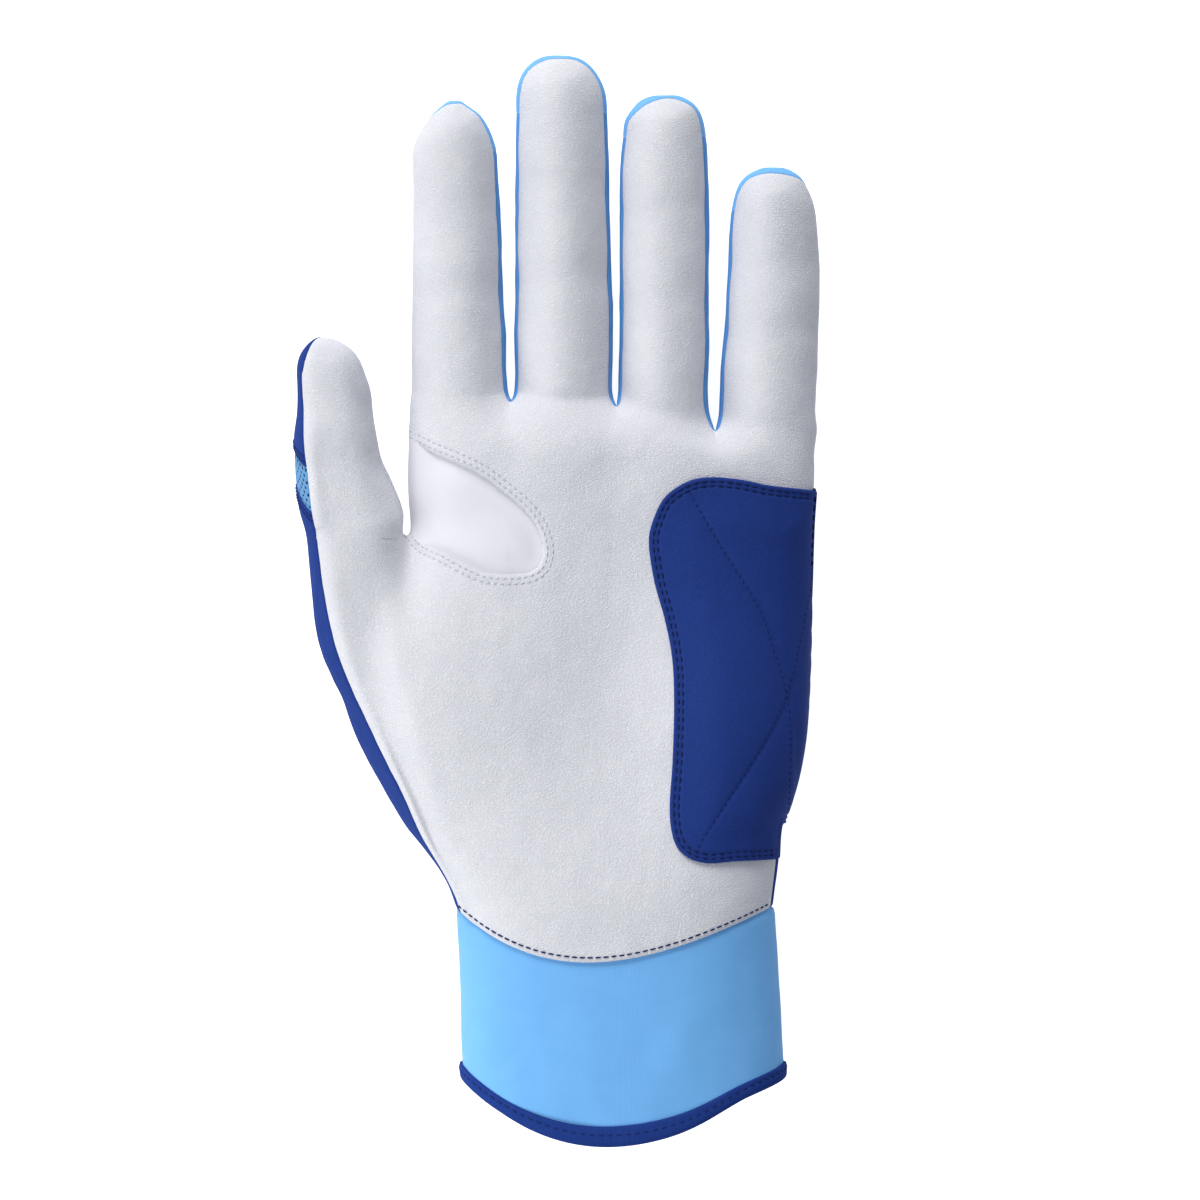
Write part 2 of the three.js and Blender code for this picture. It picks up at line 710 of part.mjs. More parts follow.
// The gusset's outline: a leaf that opens at the thumb's crotch and runs off the radial edge.
// Shares are of its length, across from the edge of the palm and up from the thumb's crotch.
const GUSSET_OUTLINE_SHARES = [
  [-0.044, 0.745],
  [0.137, 0.648],
  [0.33, 0.565],
  [0.52, 0.475],
  [0.714, 0.332],
  [0.873, 0.19],
  [0.963, 0.055],
  [1, -0.08],
  [0.976, -0.2],
  [0.89, -0.258],
  [0.73, -0.274],
  [0.563, -0.258],
  [0.415, -0.194],
  [0.256, -0.11],
  [0.105, -0.035],
  [0.015, 0.065],
];
function gussetOutline(lap) {
  const points = GUSSET_OUTLINE_SHARES.map(([across, up]) => {
    const lift = lap * (up > 0.1 ? 1 : -1);
    const x = -palmSide + across * (GUSSET_LENGTH + lap);
    return new THREE.Vector2(x, THUMB_CROTCH_HEIGHT + up * GUSSET_LENGTH + lift);
  });
  const runOff = -palmSide - CUT_OVERRUN;
  const shape = new THREE.Shape();
  shape.moveTo(runOff, points[0].y);
  shape.lineTo(points[0].x, points[0].y);
  shape.splineThru(points.slice(1));
  shape.lineTo(runOff, points[points.length - 1].y);
  return shape;
}

// Round the wrist: the direction at an angle, and the heights of the leather's edge and the hem.
const isPalmAngle = (angle) => Math.sin(rad(angle)) > 0;
const leatherEdge = (angle) => edgeHeight(wristDirection(angle).x, isPalmAngle(angle));

function hemHeight(angle) {
  const side = wristDirection(angle).x;
  const dip = isPalmAngle(angle) ? (1 - side ** 2) * (1 - HEM_SKEW_SHARE * side) : 0;
  return -CUFF_SIDE_LENGTH - CUFF_PALM_DIP * dip;
}

function wristDirection(angle) {
  const power = 2 / SECTION_POWER;
  const across = Math.cos(rad(angle));
  const up = Math.sin(rad(angle));
  return {
    x: Math.sign(across) * Math.abs(across) ** power,
    z: Math.sign(up) * Math.abs(up) ** power,
  };
}

// A place on the cuff at an angle round the wrist, a height and an offset out of its surface.
// Under the leather the cuff is drawn in, and below it the cuff swells to its full width.
function cuffPoint(angle, y, offset) {
  const swell = smooth(leatherEdge(angle) - y, 0, CUFF_SWELL_LENGTH);
  const down = clamp(-y / CUFF_SIDE_LENGTH, 0, 1);
  const tuck = LEATHER + CUFF_TUCK_GAP;
  const halfWidth = lerp(WRIST_WIDTH / 2 - tuck, lerp(CUFF_TOP_WIDTH, CUFF_HEM_WIDTH, down) / 2, swell);
  const halfDepth = lerp(WRIST_DEPTH / 2 - tuck, WRIST_DEPTH / 2, swell);
  const direction = wristDirection(angle);
  const centreX = CUFF_LEAN * lerp(CUFF_TOP_LEAN_SHARE, 1, down) * swell;
  const x = centreX + (halfWidth + offset) * direction.x;
  return new THREE.Vector3(x, y, cuffCentreZ + (halfDepth + offset) * direction.z);
}

// Sweeps a section round the wrist. The section at each angle is a closed outline of points,
// each an offset out of the cuff's surface and a height.
function sweepRoundWrist(angles, sectionAt) {
  const sections = angles.map(sectionAt);
  const count = sections[0].length;
  const positions = sections.flatMap((section, i) =>
    section.flatMap(([offset, y]) => cuffPoint(angles[i], y, offset).toArray()),
  );
  const triangles = [];
  for (let i = 0; i + 1 < angles.length; i++) {
    for (let k = 0; k < count; k++) {
      const a = i * count + k;
      const b = i * count + ((k + 1) % count);
      triangles.push(a, b + count, b, a, a + count, b + count);
    }
  }
  for (const end of [0, sections.length - 1]) {
    const outline = sections[end].map(([offset, y]) => {
      const point = cuffPoint(angles[end], y, offset);
      return new THREE.Vector2(Math.hypot(point.x, point.z - cuffCentreZ), y);
    });
    for (const corners of THREE.ShapeUtils.triangulateShape(outline, [])) {
      const [a, b, c] = corners.map((k) => end * count + k);
      triangles.push(a, end ? c : b, end ? b : c);
    }
  }
  return geometryOf(positions, triangles);
}

function steps(from, to, count) {
  return Array.from({ length: count + 1 }, (_, i) => lerp(from, to, i / count));
}

// The section of a flat layer: up its outer face and down its inner face.
function layerSection(inner, outer, heights) {
  return [...heights.map((y) => [outer, y]), ...[...heights].reverse().map((y) => [inner, y])];
}

// The heights of the cuff's rows, from a lower edge up to the edge tucked under the leather.
function cuffRows(angle, low) {
  const edge = leatherEdge(angle);
  return [...steps(low, edge - CUFF_SWELL_LENGTH, 2), edge, edge + CUFF_TUCK];
}

// Lengths along the cuff as angles round it, near the middle of its back.
const angleFor = (length) => deg(length / (WRIST_WIDTH / 2));
const CUFF_STEPS = 36;
const slitHalf = angleFor(SLIT_WIDTH / 2);
const cuffAngles = steps(SLIT_ANGLE - slitHalf, SLIT_ANGLE + slitHalf - 360, CUFF_STEPS);

function makeCuff() {
  return sweepRoundWrist(cuffAngles, (angle) => {
    return layerSection(-CUFF_WALL, 0, cuffRows(angle, hemHeight(angle)));
  });
}

// The hem is a tape folded round the cuff's lower edge.
function makeCuffBinding() {
  return sweepRoundWrist(cuffAngles, (angle) => {
    const fold = hemHeight(angle) - SEAT_GAP;
    const low = fold - BINDING_WALL;
    const high = low + BINDING_HEIGHT;
    const inside = -CUFF_WALL - SEAT_GAP;
    return [
      [SEAT_GAP + BINDING_WALL, low],
      [SEAT_GAP + BINDING_WALL, high],
      [SEAT_GAP, high],
      [SEAT_GAP, fold],
      [inside, fold],
      [inside, high],
      [inside - BINDING_WALL, high],
      [inside - BINDING_WALL, low],
    ];
  });
}

// The slit's gusset reaches one of the cuff's steps past the slit on each side.
function makeSlitGusset() {
  const reach = slitHalf + cuffAngles[0] - cuffAngles[1];
  const angles = [reach, slitHalf, 0, -slitHalf, -reach].map((turn) => SLIT_ANGLE + turn);
  const bindingTop = SEAT_GAP + BINDING_WALL - BINDING_HEIGHT;
  return sweepRoundWrist(angles, (angle) => {
    const low = hemHeight(angle) - bindingTop + SEAT_GAP;
    const outer = -CUFF_WALL - CUFF_LINING_GAP;
    return layerSection(outer - SLIT_GUSSET_WALL, outer, cuffRows(angle, low));
  });
}

function makeWristElastic() {
  return sweepRoundWrist(steps(ELASTIC_END_ANGLE, ELASTIC_START_ANGLE, 16), (angle) => {
    const outer = -CUFF_WALL - CUFF_LINING_GAP;
    const low = -ELASTIC_DROP - ELASTIC_WIDTH / 2;
    return layerSection(outer - ELASTIC_WALL, outer, [low, low + ELASTIC_WIDTH]);
  });
}

// The strap is sewn down on the thumb side, climbs over the patches and closes across the slit.
const ridge = (angle) => lerp(SEAT_GAP, strapStack, smooth(angle, STRAP_RAMP_START_ANGLE, STRAP_RAMP_END_ANGLE));

function makeStrap() {
  const roundedFrom = STRAP_END_ANGLE - angleFor(STRAP_END_RADIUS);
  const straightAngles = steps(STRAP_START_ANGLE, roundedFrom, 16);
  const roundAngles = [0.3, 0.55, 0.75, 0.9, 1].map((share) => lerp(roundedFrom, STRAP_END_ANGLE, share));
  return sweepRoundWrist([...straightAngles, ...roundAngles].reverse(), (angle) => {
    const share = clamp((angle - roundedFrom) / (STRAP_END_ANGLE - roundedFrom), 0, 1);
    const half = STRAP_WIDTH / 2 - STRAP_END_RADIUS * (1 - Math.sqrt(1 - share ** 2));
    const low = -STRAP_CENTRE_DROP - half;
    return layerSection(ridge(angle), ridge(angle) + STRAP_WALL, [low, low + 2 * half]);
  });
}

function makePatch(startAngle, endAngle, width, inner, thickness) {
  return sweepRoundWrist(steps(endAngle, startAngle, 12), () => {
    const low = -STRAP_CENTRE_DROP - width / 2;
    return layerSection(inner, inner + thickness, [low, low + width]);
  });
}

// The palm leather has a window for the gusset, which is set in behind it.
const frontTop = cuffCentreZ + WRIST_DEPTH;
const isPalmSide = (face) => face.panel === "palm_leather";

function makePalmLeather() {
  const leather = solidOf(panelWall("palm_leather", LEATHER));
  const window = planPrism(gussetOutline(0), -GUSSET_SIDE_REACH, frontTop);
  return geometryFrom(leather.subtract(window));
}

function makeCrotchGusset() {
  const outer = -LEATHER - SEAT_GAP;
  const layer = solidOf(wall(facesOf("palm_leather"), outer - GUSSET_LEATHER, outer, SEAM_GAP));
  const outline = planPrism(gussetOutline(GUSSET_LAP), -GUSSET_SIDE_REACH - GUSSET_LAP, frontTop);
  return geometryFrom(layer.intersect(outline));
}

// The heel pad is a cover sewn down round a thin foam, which lies in its hollow.
const padFaces = hand.faces.filter((face) => {
  const heights = face.corners.map((i) => hand.points[i].y);
  const places = face.corners.map((i) => hand.points[i].x);
  return isPalmSide(face) && Math.max(...places) > 0 && Math.min(...heights) < PAD_TOP_HEIGHT;
});

// How far the pad has risen over its foam: nothing along its seam, and all of it in the middle.
function padSwell(point) {
  const across = (palmSide - point.x) / PAD_WIDTH;
  const down = (PAD_TOP_HEIGHT - point.y) / PAD_LENGTH;
  const seam = PAD_SEAM_WIDTH / PAD_WIDTH;
  const sides = smooth(across, 2 * seam, 5 * seam) * smooth(0.86 - across, seam, 4 * seam);
  return sides * smooth(down, seam / 2, 2 * seam) * smooth(1 - down, seam / 2, 2 * seam);
}

function makeHeelPad() {
  const under = (point) => SEAT_GAP + (SEAT_GAP + PAD_FOAM) * padSwell(point);
  const over = (point) => under(point) + PAD_WALL;
  const cover = solidOf(wall(padFaces, under, over, 0));
  return geometryFrom(cover.intersect(planPrism(padOutline(0), PAD_SIDE_REACH, frontTop)));
}

function makeHeelPadFoam() {
  const least = 0.2 * PAD_FOAM;
  const over = (point) => SEAT_GAP + PAD_FOAM * padSwell(point) - least * (1 - padSwell(point));
  const foam = solidOf(wall(padFaces, SEAT_GAP / 2 - least, over, 0));
  const above = solidOf(wall(padFaces, SEAT_GAP, SEAT_GAP + 2 * PAD_FOAM, 0));
  return geometryFrom(foam.intersect(above));
}

// Materials, with the colours of the glove.
const finish = (color, roughness) => new THREE.MeshStandardMaterial({ color, roughness, metalness: 0 });
const whiteLeather = finish(0xf4f5f7, 0.55);
const lightBlueFabric = finish(0x76b8f0, 0.8);
const lightBlueMesh = finish(0x6aaee8, 0.85);
const royalFabric = finish(0x26409a, 0.7);
const royalLeather = finish(0x27419c, 0.5);
const greyFoam = finish(0xb9bec6, 0.95);
const royalLoop = finish(0x1d3278, 0.95);
const whiteElastic = finish(0xe9ebef, 0.85);

const glove = new THREE.Group();
function add(name, geometry, material) {
  const mesh = new THREE.Mesh(cutAtRest(geometry), material);
  mesh.name = name;
  glove.add(mesh);
}

add("palm_leather", makePalmLeather(), whiteLeather);
add("crotch_gusset", makeCrotchGusset(), whiteLeather);
add("heel_pad", makeHeelPad(), royalLeather);
add("heel_pad_foam", makeHeelPadFoam(), greyFoam);
add("hand_back", panelWall("hand_back", FABRIC), royalFabric);
add("knuckle_panel", panelWall("knuckle_panel", MESH_FABRIC), lightBlueMesh);
add("thumb_side_panel", panelWall("thumb_side_panel", FABRIC), royalFabric);
for (const i of [0, 1, 2]) add(webName(i), panelWall(webName(i), FABRIC), lightBlueFabric);

for (const finger of fingers) {
  add(finger.name + "_front", panelWall(finger.name + "_front", LEATHER), whiteLeather);
  add(finger.name + "_back", panelWall(finger.name + "_back", FABRIC), lightBlueFabric);
  for (const side of ["_thumb_side_fourchette", "_little_side_fourchette"]) {
    if (!facesOf(finger.name + side).length) continue;
    add(finger.name + side, panelWall(finger.name + side, FABRIC), lightBlueFabric);
  }
}
add("thumb_front", panelWall("thumb_front", LEATHER), whiteLeather);
add("thumb_base_back", panelWall("thumb_base_back", FABRIC), royalFabric);
add("thumb_flex_mesh", panelWall("thumb_flex_mesh", MESH_FABRIC), lightBlueMesh);
add("thumb_tip_back", panelWall("thumb_tip_back", FABRIC), royalFabric);

add("cuff", makeCuff(), lightBlueFabric);
add("cuff_binding", makeCuffBinding(), royalFabric);
add("slit_gusset", makeSlitGusset(), royalFabric);
add("wrist_elastic", makeWristElastic(), whiteElastic);
add("strap", makeStrap(), royalFabric);
const loopInner = SEAT_GAP;
add("loop_patch", makePatch(LOOP_START_ANGLE, LOOP_END_ANGLE, LOOP_WIDTH, loopInner, LOOP_WALL), royalLoop);
const hookInner = strapStack - SEAT_GAP - HOOK_WALL;
add("hook_patch", makePatch(HOOK_START_ANGLE, HOOK_END_ANGLE, HOOK_WIDTH, hookInner, HOOK_WALL), royalLoop);

// The origin is the middle of the glove's footprint, at the level that it rests on.
const extent = new THREE.Box3().setFromObject(glove);
const centre = extent.getCenter(new THREE.Vector3());
glove.position.set(-centre.x, -centre.y, -extent.min.z);

export default glove;
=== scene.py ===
import math

import bpy
import numpy as np
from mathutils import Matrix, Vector, noise
from mathutils.bvhtree import BVHTree
from mathutils.kdtree import KDTree


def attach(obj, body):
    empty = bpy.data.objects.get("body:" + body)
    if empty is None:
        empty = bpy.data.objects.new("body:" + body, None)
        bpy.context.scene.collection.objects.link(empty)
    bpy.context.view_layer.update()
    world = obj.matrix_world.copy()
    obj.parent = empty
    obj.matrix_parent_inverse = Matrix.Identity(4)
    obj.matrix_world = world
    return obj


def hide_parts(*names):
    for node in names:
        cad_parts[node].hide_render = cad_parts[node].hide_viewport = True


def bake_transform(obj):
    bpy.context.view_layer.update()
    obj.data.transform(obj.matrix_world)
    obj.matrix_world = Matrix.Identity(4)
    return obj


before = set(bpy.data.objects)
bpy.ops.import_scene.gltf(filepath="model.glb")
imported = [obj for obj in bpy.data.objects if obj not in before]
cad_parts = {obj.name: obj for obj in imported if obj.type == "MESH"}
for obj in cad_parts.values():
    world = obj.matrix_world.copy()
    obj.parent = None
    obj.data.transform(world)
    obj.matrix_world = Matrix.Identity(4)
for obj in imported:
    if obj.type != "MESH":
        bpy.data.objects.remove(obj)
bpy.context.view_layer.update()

# Palm leather. The real piece is one white goatskin panel, 1 mm thick, cut flat from the wrist to
# the digits, where their fronts go on without a seam. It is sewn inside out to the back panels and
# turned over a hand form.

# The form, for a left hand palm up, is a smoothed net of rings round the palm and the digits, and
# every panel is laid on it. Lengths are in millimetres from the wrist line, mid-palm.
MM = 0.001
WRIST_LINE = np.array([13.291, -72.368, 16.5])
SKIN_LEVELS = 4
LINING_LEVELS = 2
THUMB_CROTCH = 86.0
PALM_SIDE = 47.65
WRIST_HALF = 36.9
WRIST_DEPTH = 38.0
CUFF_CENTRE_Z = 6.0
KNUCKLE_DEPTH = 17.0
KNUCKLE_HEIGHT = 95.0
PALM_FRONT_DEPTH = 14.0
HEEL_FRONT_DEPTH = 21.0
HEEL_LENGTH = 30.0
FINGER_ANGLES = [160, 114, 68, 22, -22, -68, -114, -160]
FRONT_SEAM_ANGLES = {"index": (160, 17), "middle": (175, 16), "ring": (174, 24), "little": (173, 22)}
TIP_OPENINGS = {"index": 6, "middle": 5, "ring": 10, "little": 14}
THUMB_ANGLES = [134, 104, 62, 22, -22, -66, -112, -158]
SECTION_POWER = 2.5
# Each digit: its crotches, its width at the root, its depths, the tip, how far it lifts and
# curls up, and its two edges at heights up its straight part and round its tip.
DIGITS = {
    "index": dict(
        crotches=(118, 118), root=(-47.65, -24.45), depth=(19.8, 16.6), tip=188.7, lift=0, curl=4,
        straight=[(121.6, -47.4, -25.2), (131.4, -47.4, -25.6), (139.6, -47.3, -26.0), (147.8, -47.2, -26.4),
                  (156.0, -47.1, -26.6), (164.3, -47.1, -26.9), (171.3, -47.1, -27.3), (176.5, -47.1, -27.6)],
        round=[(180.2, -45.9, -28.6), (183.8, -43.8, -30.4), (186.4, -41.6, -32.7), (187.9, -39.7, -35.0),
               (188.3, -38.8, -35.7)]),
    "middle": dict(
        crotches=(118, 117), root=(-23.95, 0.22), depth=(20, 17), tip=199.3, lift=0, curl=4.6,
        straight=[(121.6, -22.9, -0.75), (132.5, -22.9, -0.5), (141.9, -22.7, -0.6), (151.3, -22.65, -0.9),
                  (160.7, -22.7, -1.2), (170.1, -22.7, -1.45), (178.4, -22.65, -1.6), (185.5, -22.4, -1.9)],
        round=[(190.6, -22.3, -2.4), (194.6, -21.1, -4.1), (197.0, -19.2, -6.1), (198.5, -17.0, -8.2),
               (198.85, -15.2, -10.0)]),
    "ring": dict(
        crotches=(117, 111.4), root=(0.72, 23.45), depth=(19.4, 16.4), tip=190.1, lift=0, curl=4.2,
        straight=[(120.2, 1.6, 22.1), (131.4, 1.75, 22.4), (140.8, 1.8, 22.3), (150.2, 1.8, 22.3),
                  (159.6, 1.8, 22.4), (167.8, 1.85, 22.3), (174.8, 2.1, 22.0), (179.8, 2.5, 21.6)],
        round=[(183.7, 2.9, 21.0), (186.3, 4.4, 20.0), (188.2, 6.1, 18.4), (189.3, 8.0, 16.4),
               (189.62, 9.5, 14.9)]),
    "little": dict(
        crotches=(111.4, 111.4), root=(23.95, 47.65), depth=(18.8, 15.8), tip=173.0, lift=0, curl=3.6,
        straight=[(115.8, 25.2, 47.4), (125.5, 25.6, 47.6), (133.7, 26.35, 47.9), (141.9, 26.9, 48.1),
                  (150.2, 27.25, 48.1), (157.2, 27.6, 47.7), (162.9, 28.0, 47.0)],
        round=[(166.6, 28.7, 45.9), (169.4, 29.9, 44.6), (171.4, 31.8, 42.9), (172.5, 33.8, 41.0),
               (172.72, 35.1, 39.8)]),
    "thumb": dict(
        crotches=(86, 86), root=(-72.9, -49.05), depth=(21.4, 16.4), tip=133.0, lift=4, curl=3,
        straight=[(91.4, -74.9, -49.2), (97.5, -75.8, -51.6), (101.5, -75.9, -53.5), (105.5, -75.9, -54.9),
                  (110.2, -75.8, -55.7), (114.9, -74.9, -56.3), (119.6, -74.5, -56.8), (123.8, -74.7, -58.0)],
        round=[(127.4, -74.5, -59.3), (130.0, -73.4, -61.1), (131.7, -71.8, -63.2), (132.6, -70.1, -65.2),
               (132.75, -69.0, -66.4)]),
}
THUMB_SLANTS = [-4.0, -6.8, -5.5, -4.2, -3.0, -1.6, -0.8, -0.4]
THUMB_SEAM_ANGLES = [126, 124, 125, 128, 130, 138, 142, 140, 135, 133, 134, 135, 136]
FRONT_SLANT_SHARE = 0.25
ROOT_SIDE_SHARE = 0.965
WEB_FRONT = 0.5
WEB_BACK = 1.7
TIP_SLANTS = {"index": -0.5, "middle": -0.5, "ring": -0.35, "little": -0.3, "thumb": 0.2}
FINGERS = ["index", "middle", "ring", "little"]
# The palm's outline up its two sides, and the seam of the blue strip on the thumb's side.
THUMB_EDGE = [(0.9, -37.4), (5.6, -39.5), (10.3, -42.1), (15.0, -46.3), (19.7, -50.3), (24.4, -53.1),
              (29.1, -55.9), (33.8, -58.8), (38.5, -60.9), (43.2, -63.2), (47.9, -64.4), (52.6, -65.8),
              (57.3, -68.9), (62.0, -70.7), (66.7, -71.6), (71.4, -71.6), (76.1, -71.6), (80.8, -72.0), (86, -72.9)]
STRIP_SEAM = [(0.9, -37.2), (5.6, -39.2), (10.3, -41.6), (15.0, -44.2), (19.7, -46.5), (24.4, -48.6),
              (29.1, -51.0), (33.8, -53.3), (38.5, -55.9), (43.2, -58.3), (47.9, -60.6), (52.6, -62.5),
              (57.3, -64.4), (62.0, -66.0), (66.7, -67.4), (71.4, -68.1), (76.1, -68.9), (80.8, -69.3), (86, -70.0)]
LITTLE_EDGE = [(0.9, 37.0), (5.6, 37.6), (10.3, 38.3), (15.0, 38.5), (19.7, 39.1), (24.4, 40.5), (29.1, 41.9),
               (33.8, 43.3), (38.5, 43.8), (43.2, 44.3), (47.9, 44.7), (52.6, 44.9), (62.0, 45.3), (71.4, 45.6),
               (80.8, 45.9), (90.2, 46.2), (97.6, 46.8), (109.0, 47.1), (118.0, 47.3)]
# Tables by the share of the way up: how far the strip's seam is moved over, how far the palm and
# the thumb have taken the form of the digits' roots, and how evenly the columns are spread.
STRIP_SHIFTS = ([0, 0.45, 0.6, 1], [1.6, 1.5, 0.9, 0.6])
LOWER_PALM_FORM = ([0, 0.57, 0.7, 0.85, 1], [0, 0, 0.02, 0.24, 1])
LOWER_THUMB_FORM = ([0, 0.33, 0.45, 0.57, 0.7, 0.85, 1], [0, 0.08, 0.28, 0.54, 0.8, 0.95, 1])
LOWER_EVENNESS = ([0, 0.57, 0.7, 0.85, 1], [1, 1, 0.85, 0.55, 0])
UPPER_FORM = ([0, 0.53, 0.78, 1], [0, 0.01, 0.14, 1])
UPPER_EVENNESS = ([0, 0.27, 0.53, 0.78, 1], [1, 0.9, 0.7, 0.42, 0])
THUMB_SHARE_AT_WRIST = 0.17
LOWER_RISES = [0, 0.07, 0.145, 0.225, 0.33, 0.45, 0.57, 0.7, 0.85, 1]
UPPER_RISES = [0.27, 0.53, 0.78]
PALM_EDGE_DIP = 11.8
BACK_EDGE_DROP = 4.0


def smooth(x, low, high):
    t = np.clip((np.asarray(x, float) - low) / (high - low), 0, 1)
    return t * t * (3 - 2 * t)


def read_off(table, y):
    heights, places = zip(*table)
    return float(np.interp(y, heights, places))


def fullness(share):
    """The height of a rounded section at a share of its half width."""
    return np.clip(1 - np.abs(share) ** SECTION_POWER, 0, None) ** (1 / SECTION_POWER)


def bump(x, y, cx, cy, rx, ry, height):
    return height * np.exp(-(((x - cx) / rx) ** 2) - ((y - cy) / ry) ** 2)


def palm_relief(x, y):
    """The thumb's and the little finger's muscles, the hollow between them and the finger pads."""
    z = bump(x, y, -PALM_SIDE, 47.3, 20.0, 25.8, 4.0) + bump(x, y, 26.7, 36.1, 16.2, 27.5, 2.4)
    z -= bump(x, y, 1.9, 58.5, 15.2, 31.0, 3.2)
    for name in FINGERS:
        digit = DIGITS[name]
        width = digit["root"][1] - digit["root"][0]
        z += bump(x, y, sum(digit["root"]) / 2, sum(digit["crotches"]) / 2 - 0.6 * width,
                  0.42 * width, 0.4 * width, 0.4 if name == "little" else 1.3)
    return z


def surface_height(x, y, left, right, is_front):
    full = fullness((2 * x - left - right) / (right - left))
    plane = CUFF_CENTRE_Z * (1 - smooth(y, 0, THUMB_CROTCH))
    if is_front:
        heel = CUFF_CENTRE_Z + WRIST_DEPTH / 2
        heel += (HEEL_FRONT_DEPTH - heel) * smooth(y, 0, HEEL_LENGTH)
        crown = heel + (PALM_FRONT_DEPTH - heel) * smooth(y, HEEL_LENGTH / 2, THUMB_CROTCH)
        crown += palm_relief(x, y)
    else:
        wrist = CUFF_CENTRE_Z - WRIST_DEPTH / 2
        crown = wrist + (-KNUCKLE_DEPTH - wrist) * smooth(y, 0, KNUCKLE_HEIGHT)
    return float(plane + (crown - plane) * full)


def digit_ring(digit, angles, height, left, right, size, slant):
    """A ring of the net round a digit. Its front and back are a slant apart in height."""
    left_crotch, right_crotch = digit["crotches"]
    root = (left_crotch + right_crotch) / 2
    is_thumb = digit is DIGITS["thumb"]
    along = (height - root) / (digit["tip"] - root)
    centre_z = digit["lift"] + digit["curl"] * along ** 2
    half_depth = (digit["depth"][0] + (digit["depth"][1] - digit["depth"][0]) * along) / 2 * size
    ring = []
    for angle in angles:
        across, up = math.cos(math.radians(angle)), math.sin(math.radians(angle))
        tilt = left_crotch + (right_crotch - left_crotch) * (across + 1) / 2 - root
        turned = slant * up * (FRONT_SLANT_SHARE if is_thumb and angle in THUMB_ANGLES[1:4] else 1)
        y = height + tilt * max(0.0, 1 - 3 * along) + turned
        outermost = digit is DIGITS["index"] and across < 0 or digit is DIGITS["little"] and across > 0
        if height == root and abs(across) > 0.9 and not is_thumb and not outermost:
            across = math.copysign(ROOT_SIDE_SHARE, across)
            y += WEB_FRONT if up > 0 else -WEB_BACK
        ring.append([(left + right) / 2 + (right - left) / 2 * across, y, centre_z + half_depth * up])
    return ring


def edge_height(side, is_front):
    if not is_front:
        return -BACK_EDGE_DROP * (1 - side ** 4)
    return -PALM_EDGE_DIP * (1 - side ** 2) * (1 - 0.35 * side)


# Every face of the net has a column and a row. These rows are where its parts start.
UPPER_ROW = 10
FINGER_ROW = 14
THUMB_ROW = 30
CAP_ROW = 60
CROTCH_ROW = 70
WEB_ROW = 71
root_rings = {}
for name, digit in DIGITS.items():
    angles = THUMB_ANGLES if name == "thumb" else FINGER_ANGLES
    root_rings[name] = digit_ring(digit, angles, sum(digit["crotches"]) / 2, *digit["root"], 1, 0)
crotch_front = [p for name in FINGERS for p in root_rings[name][:4]]
crotch_back = [p for name in FINGERS for p in root_rings[name][:3:-1]]
thumb_front_ring, thumb_back_ring = root_rings["thumb"][:4], root_rings["thumb"][:3:-1]
thumb_left = DIGITS["thumb"]["root"][0]
net_points, net_faces, net_panels, net_places = [], [], [], []
PANELS = ["palm_leather", "hand_back", "knuckle_panel", "thumb_side_panel", "index_middle_web",
          "middle_ring_web", "ring_little_web", "thumb_front", "thumb_base_back", "thumb_flex_mesh",
          "thumb_tip_back"]
PANELS += [name + part for name in FINGERS for part in ("_front", "_back")]
PANELS += ["index_little_side_fourchette", "middle_thumb_side_fourchette",
           "middle_little_side_fourchette", "ring_thumb_side_fourchette",
           "ring_little_side_fourchette", "little_thumb_side_fourchette"]


def add_points(points):
    net_points.extend(points)
    return list(range(len(net_points) - len(points), len(net_points)))


def add_face(corners, panel, column, row):
    net_faces.append(corners)
    net_panels.append(PANELS.index(panel))
    net_places.append([(column, row), (column + 1, row), (column + 1, row + 1), (column, row + 1)])


def add_band(lower, upper, panel_of, row):
    count = len(lower)
    for k in range(count):
        after = (k + 1) % count
        add_face([lower[k], lower[after], upper[after], upper[k]], panel_of(k), k, row)


def spread_columns(ring, even_share):
    """The columns stand close together at the crotches and evenly over the palm."""
    x = np.array([p[0] for p in ring])
    return x + (np.linspace(x[0], x[-1], len(x)) - x) * even_share


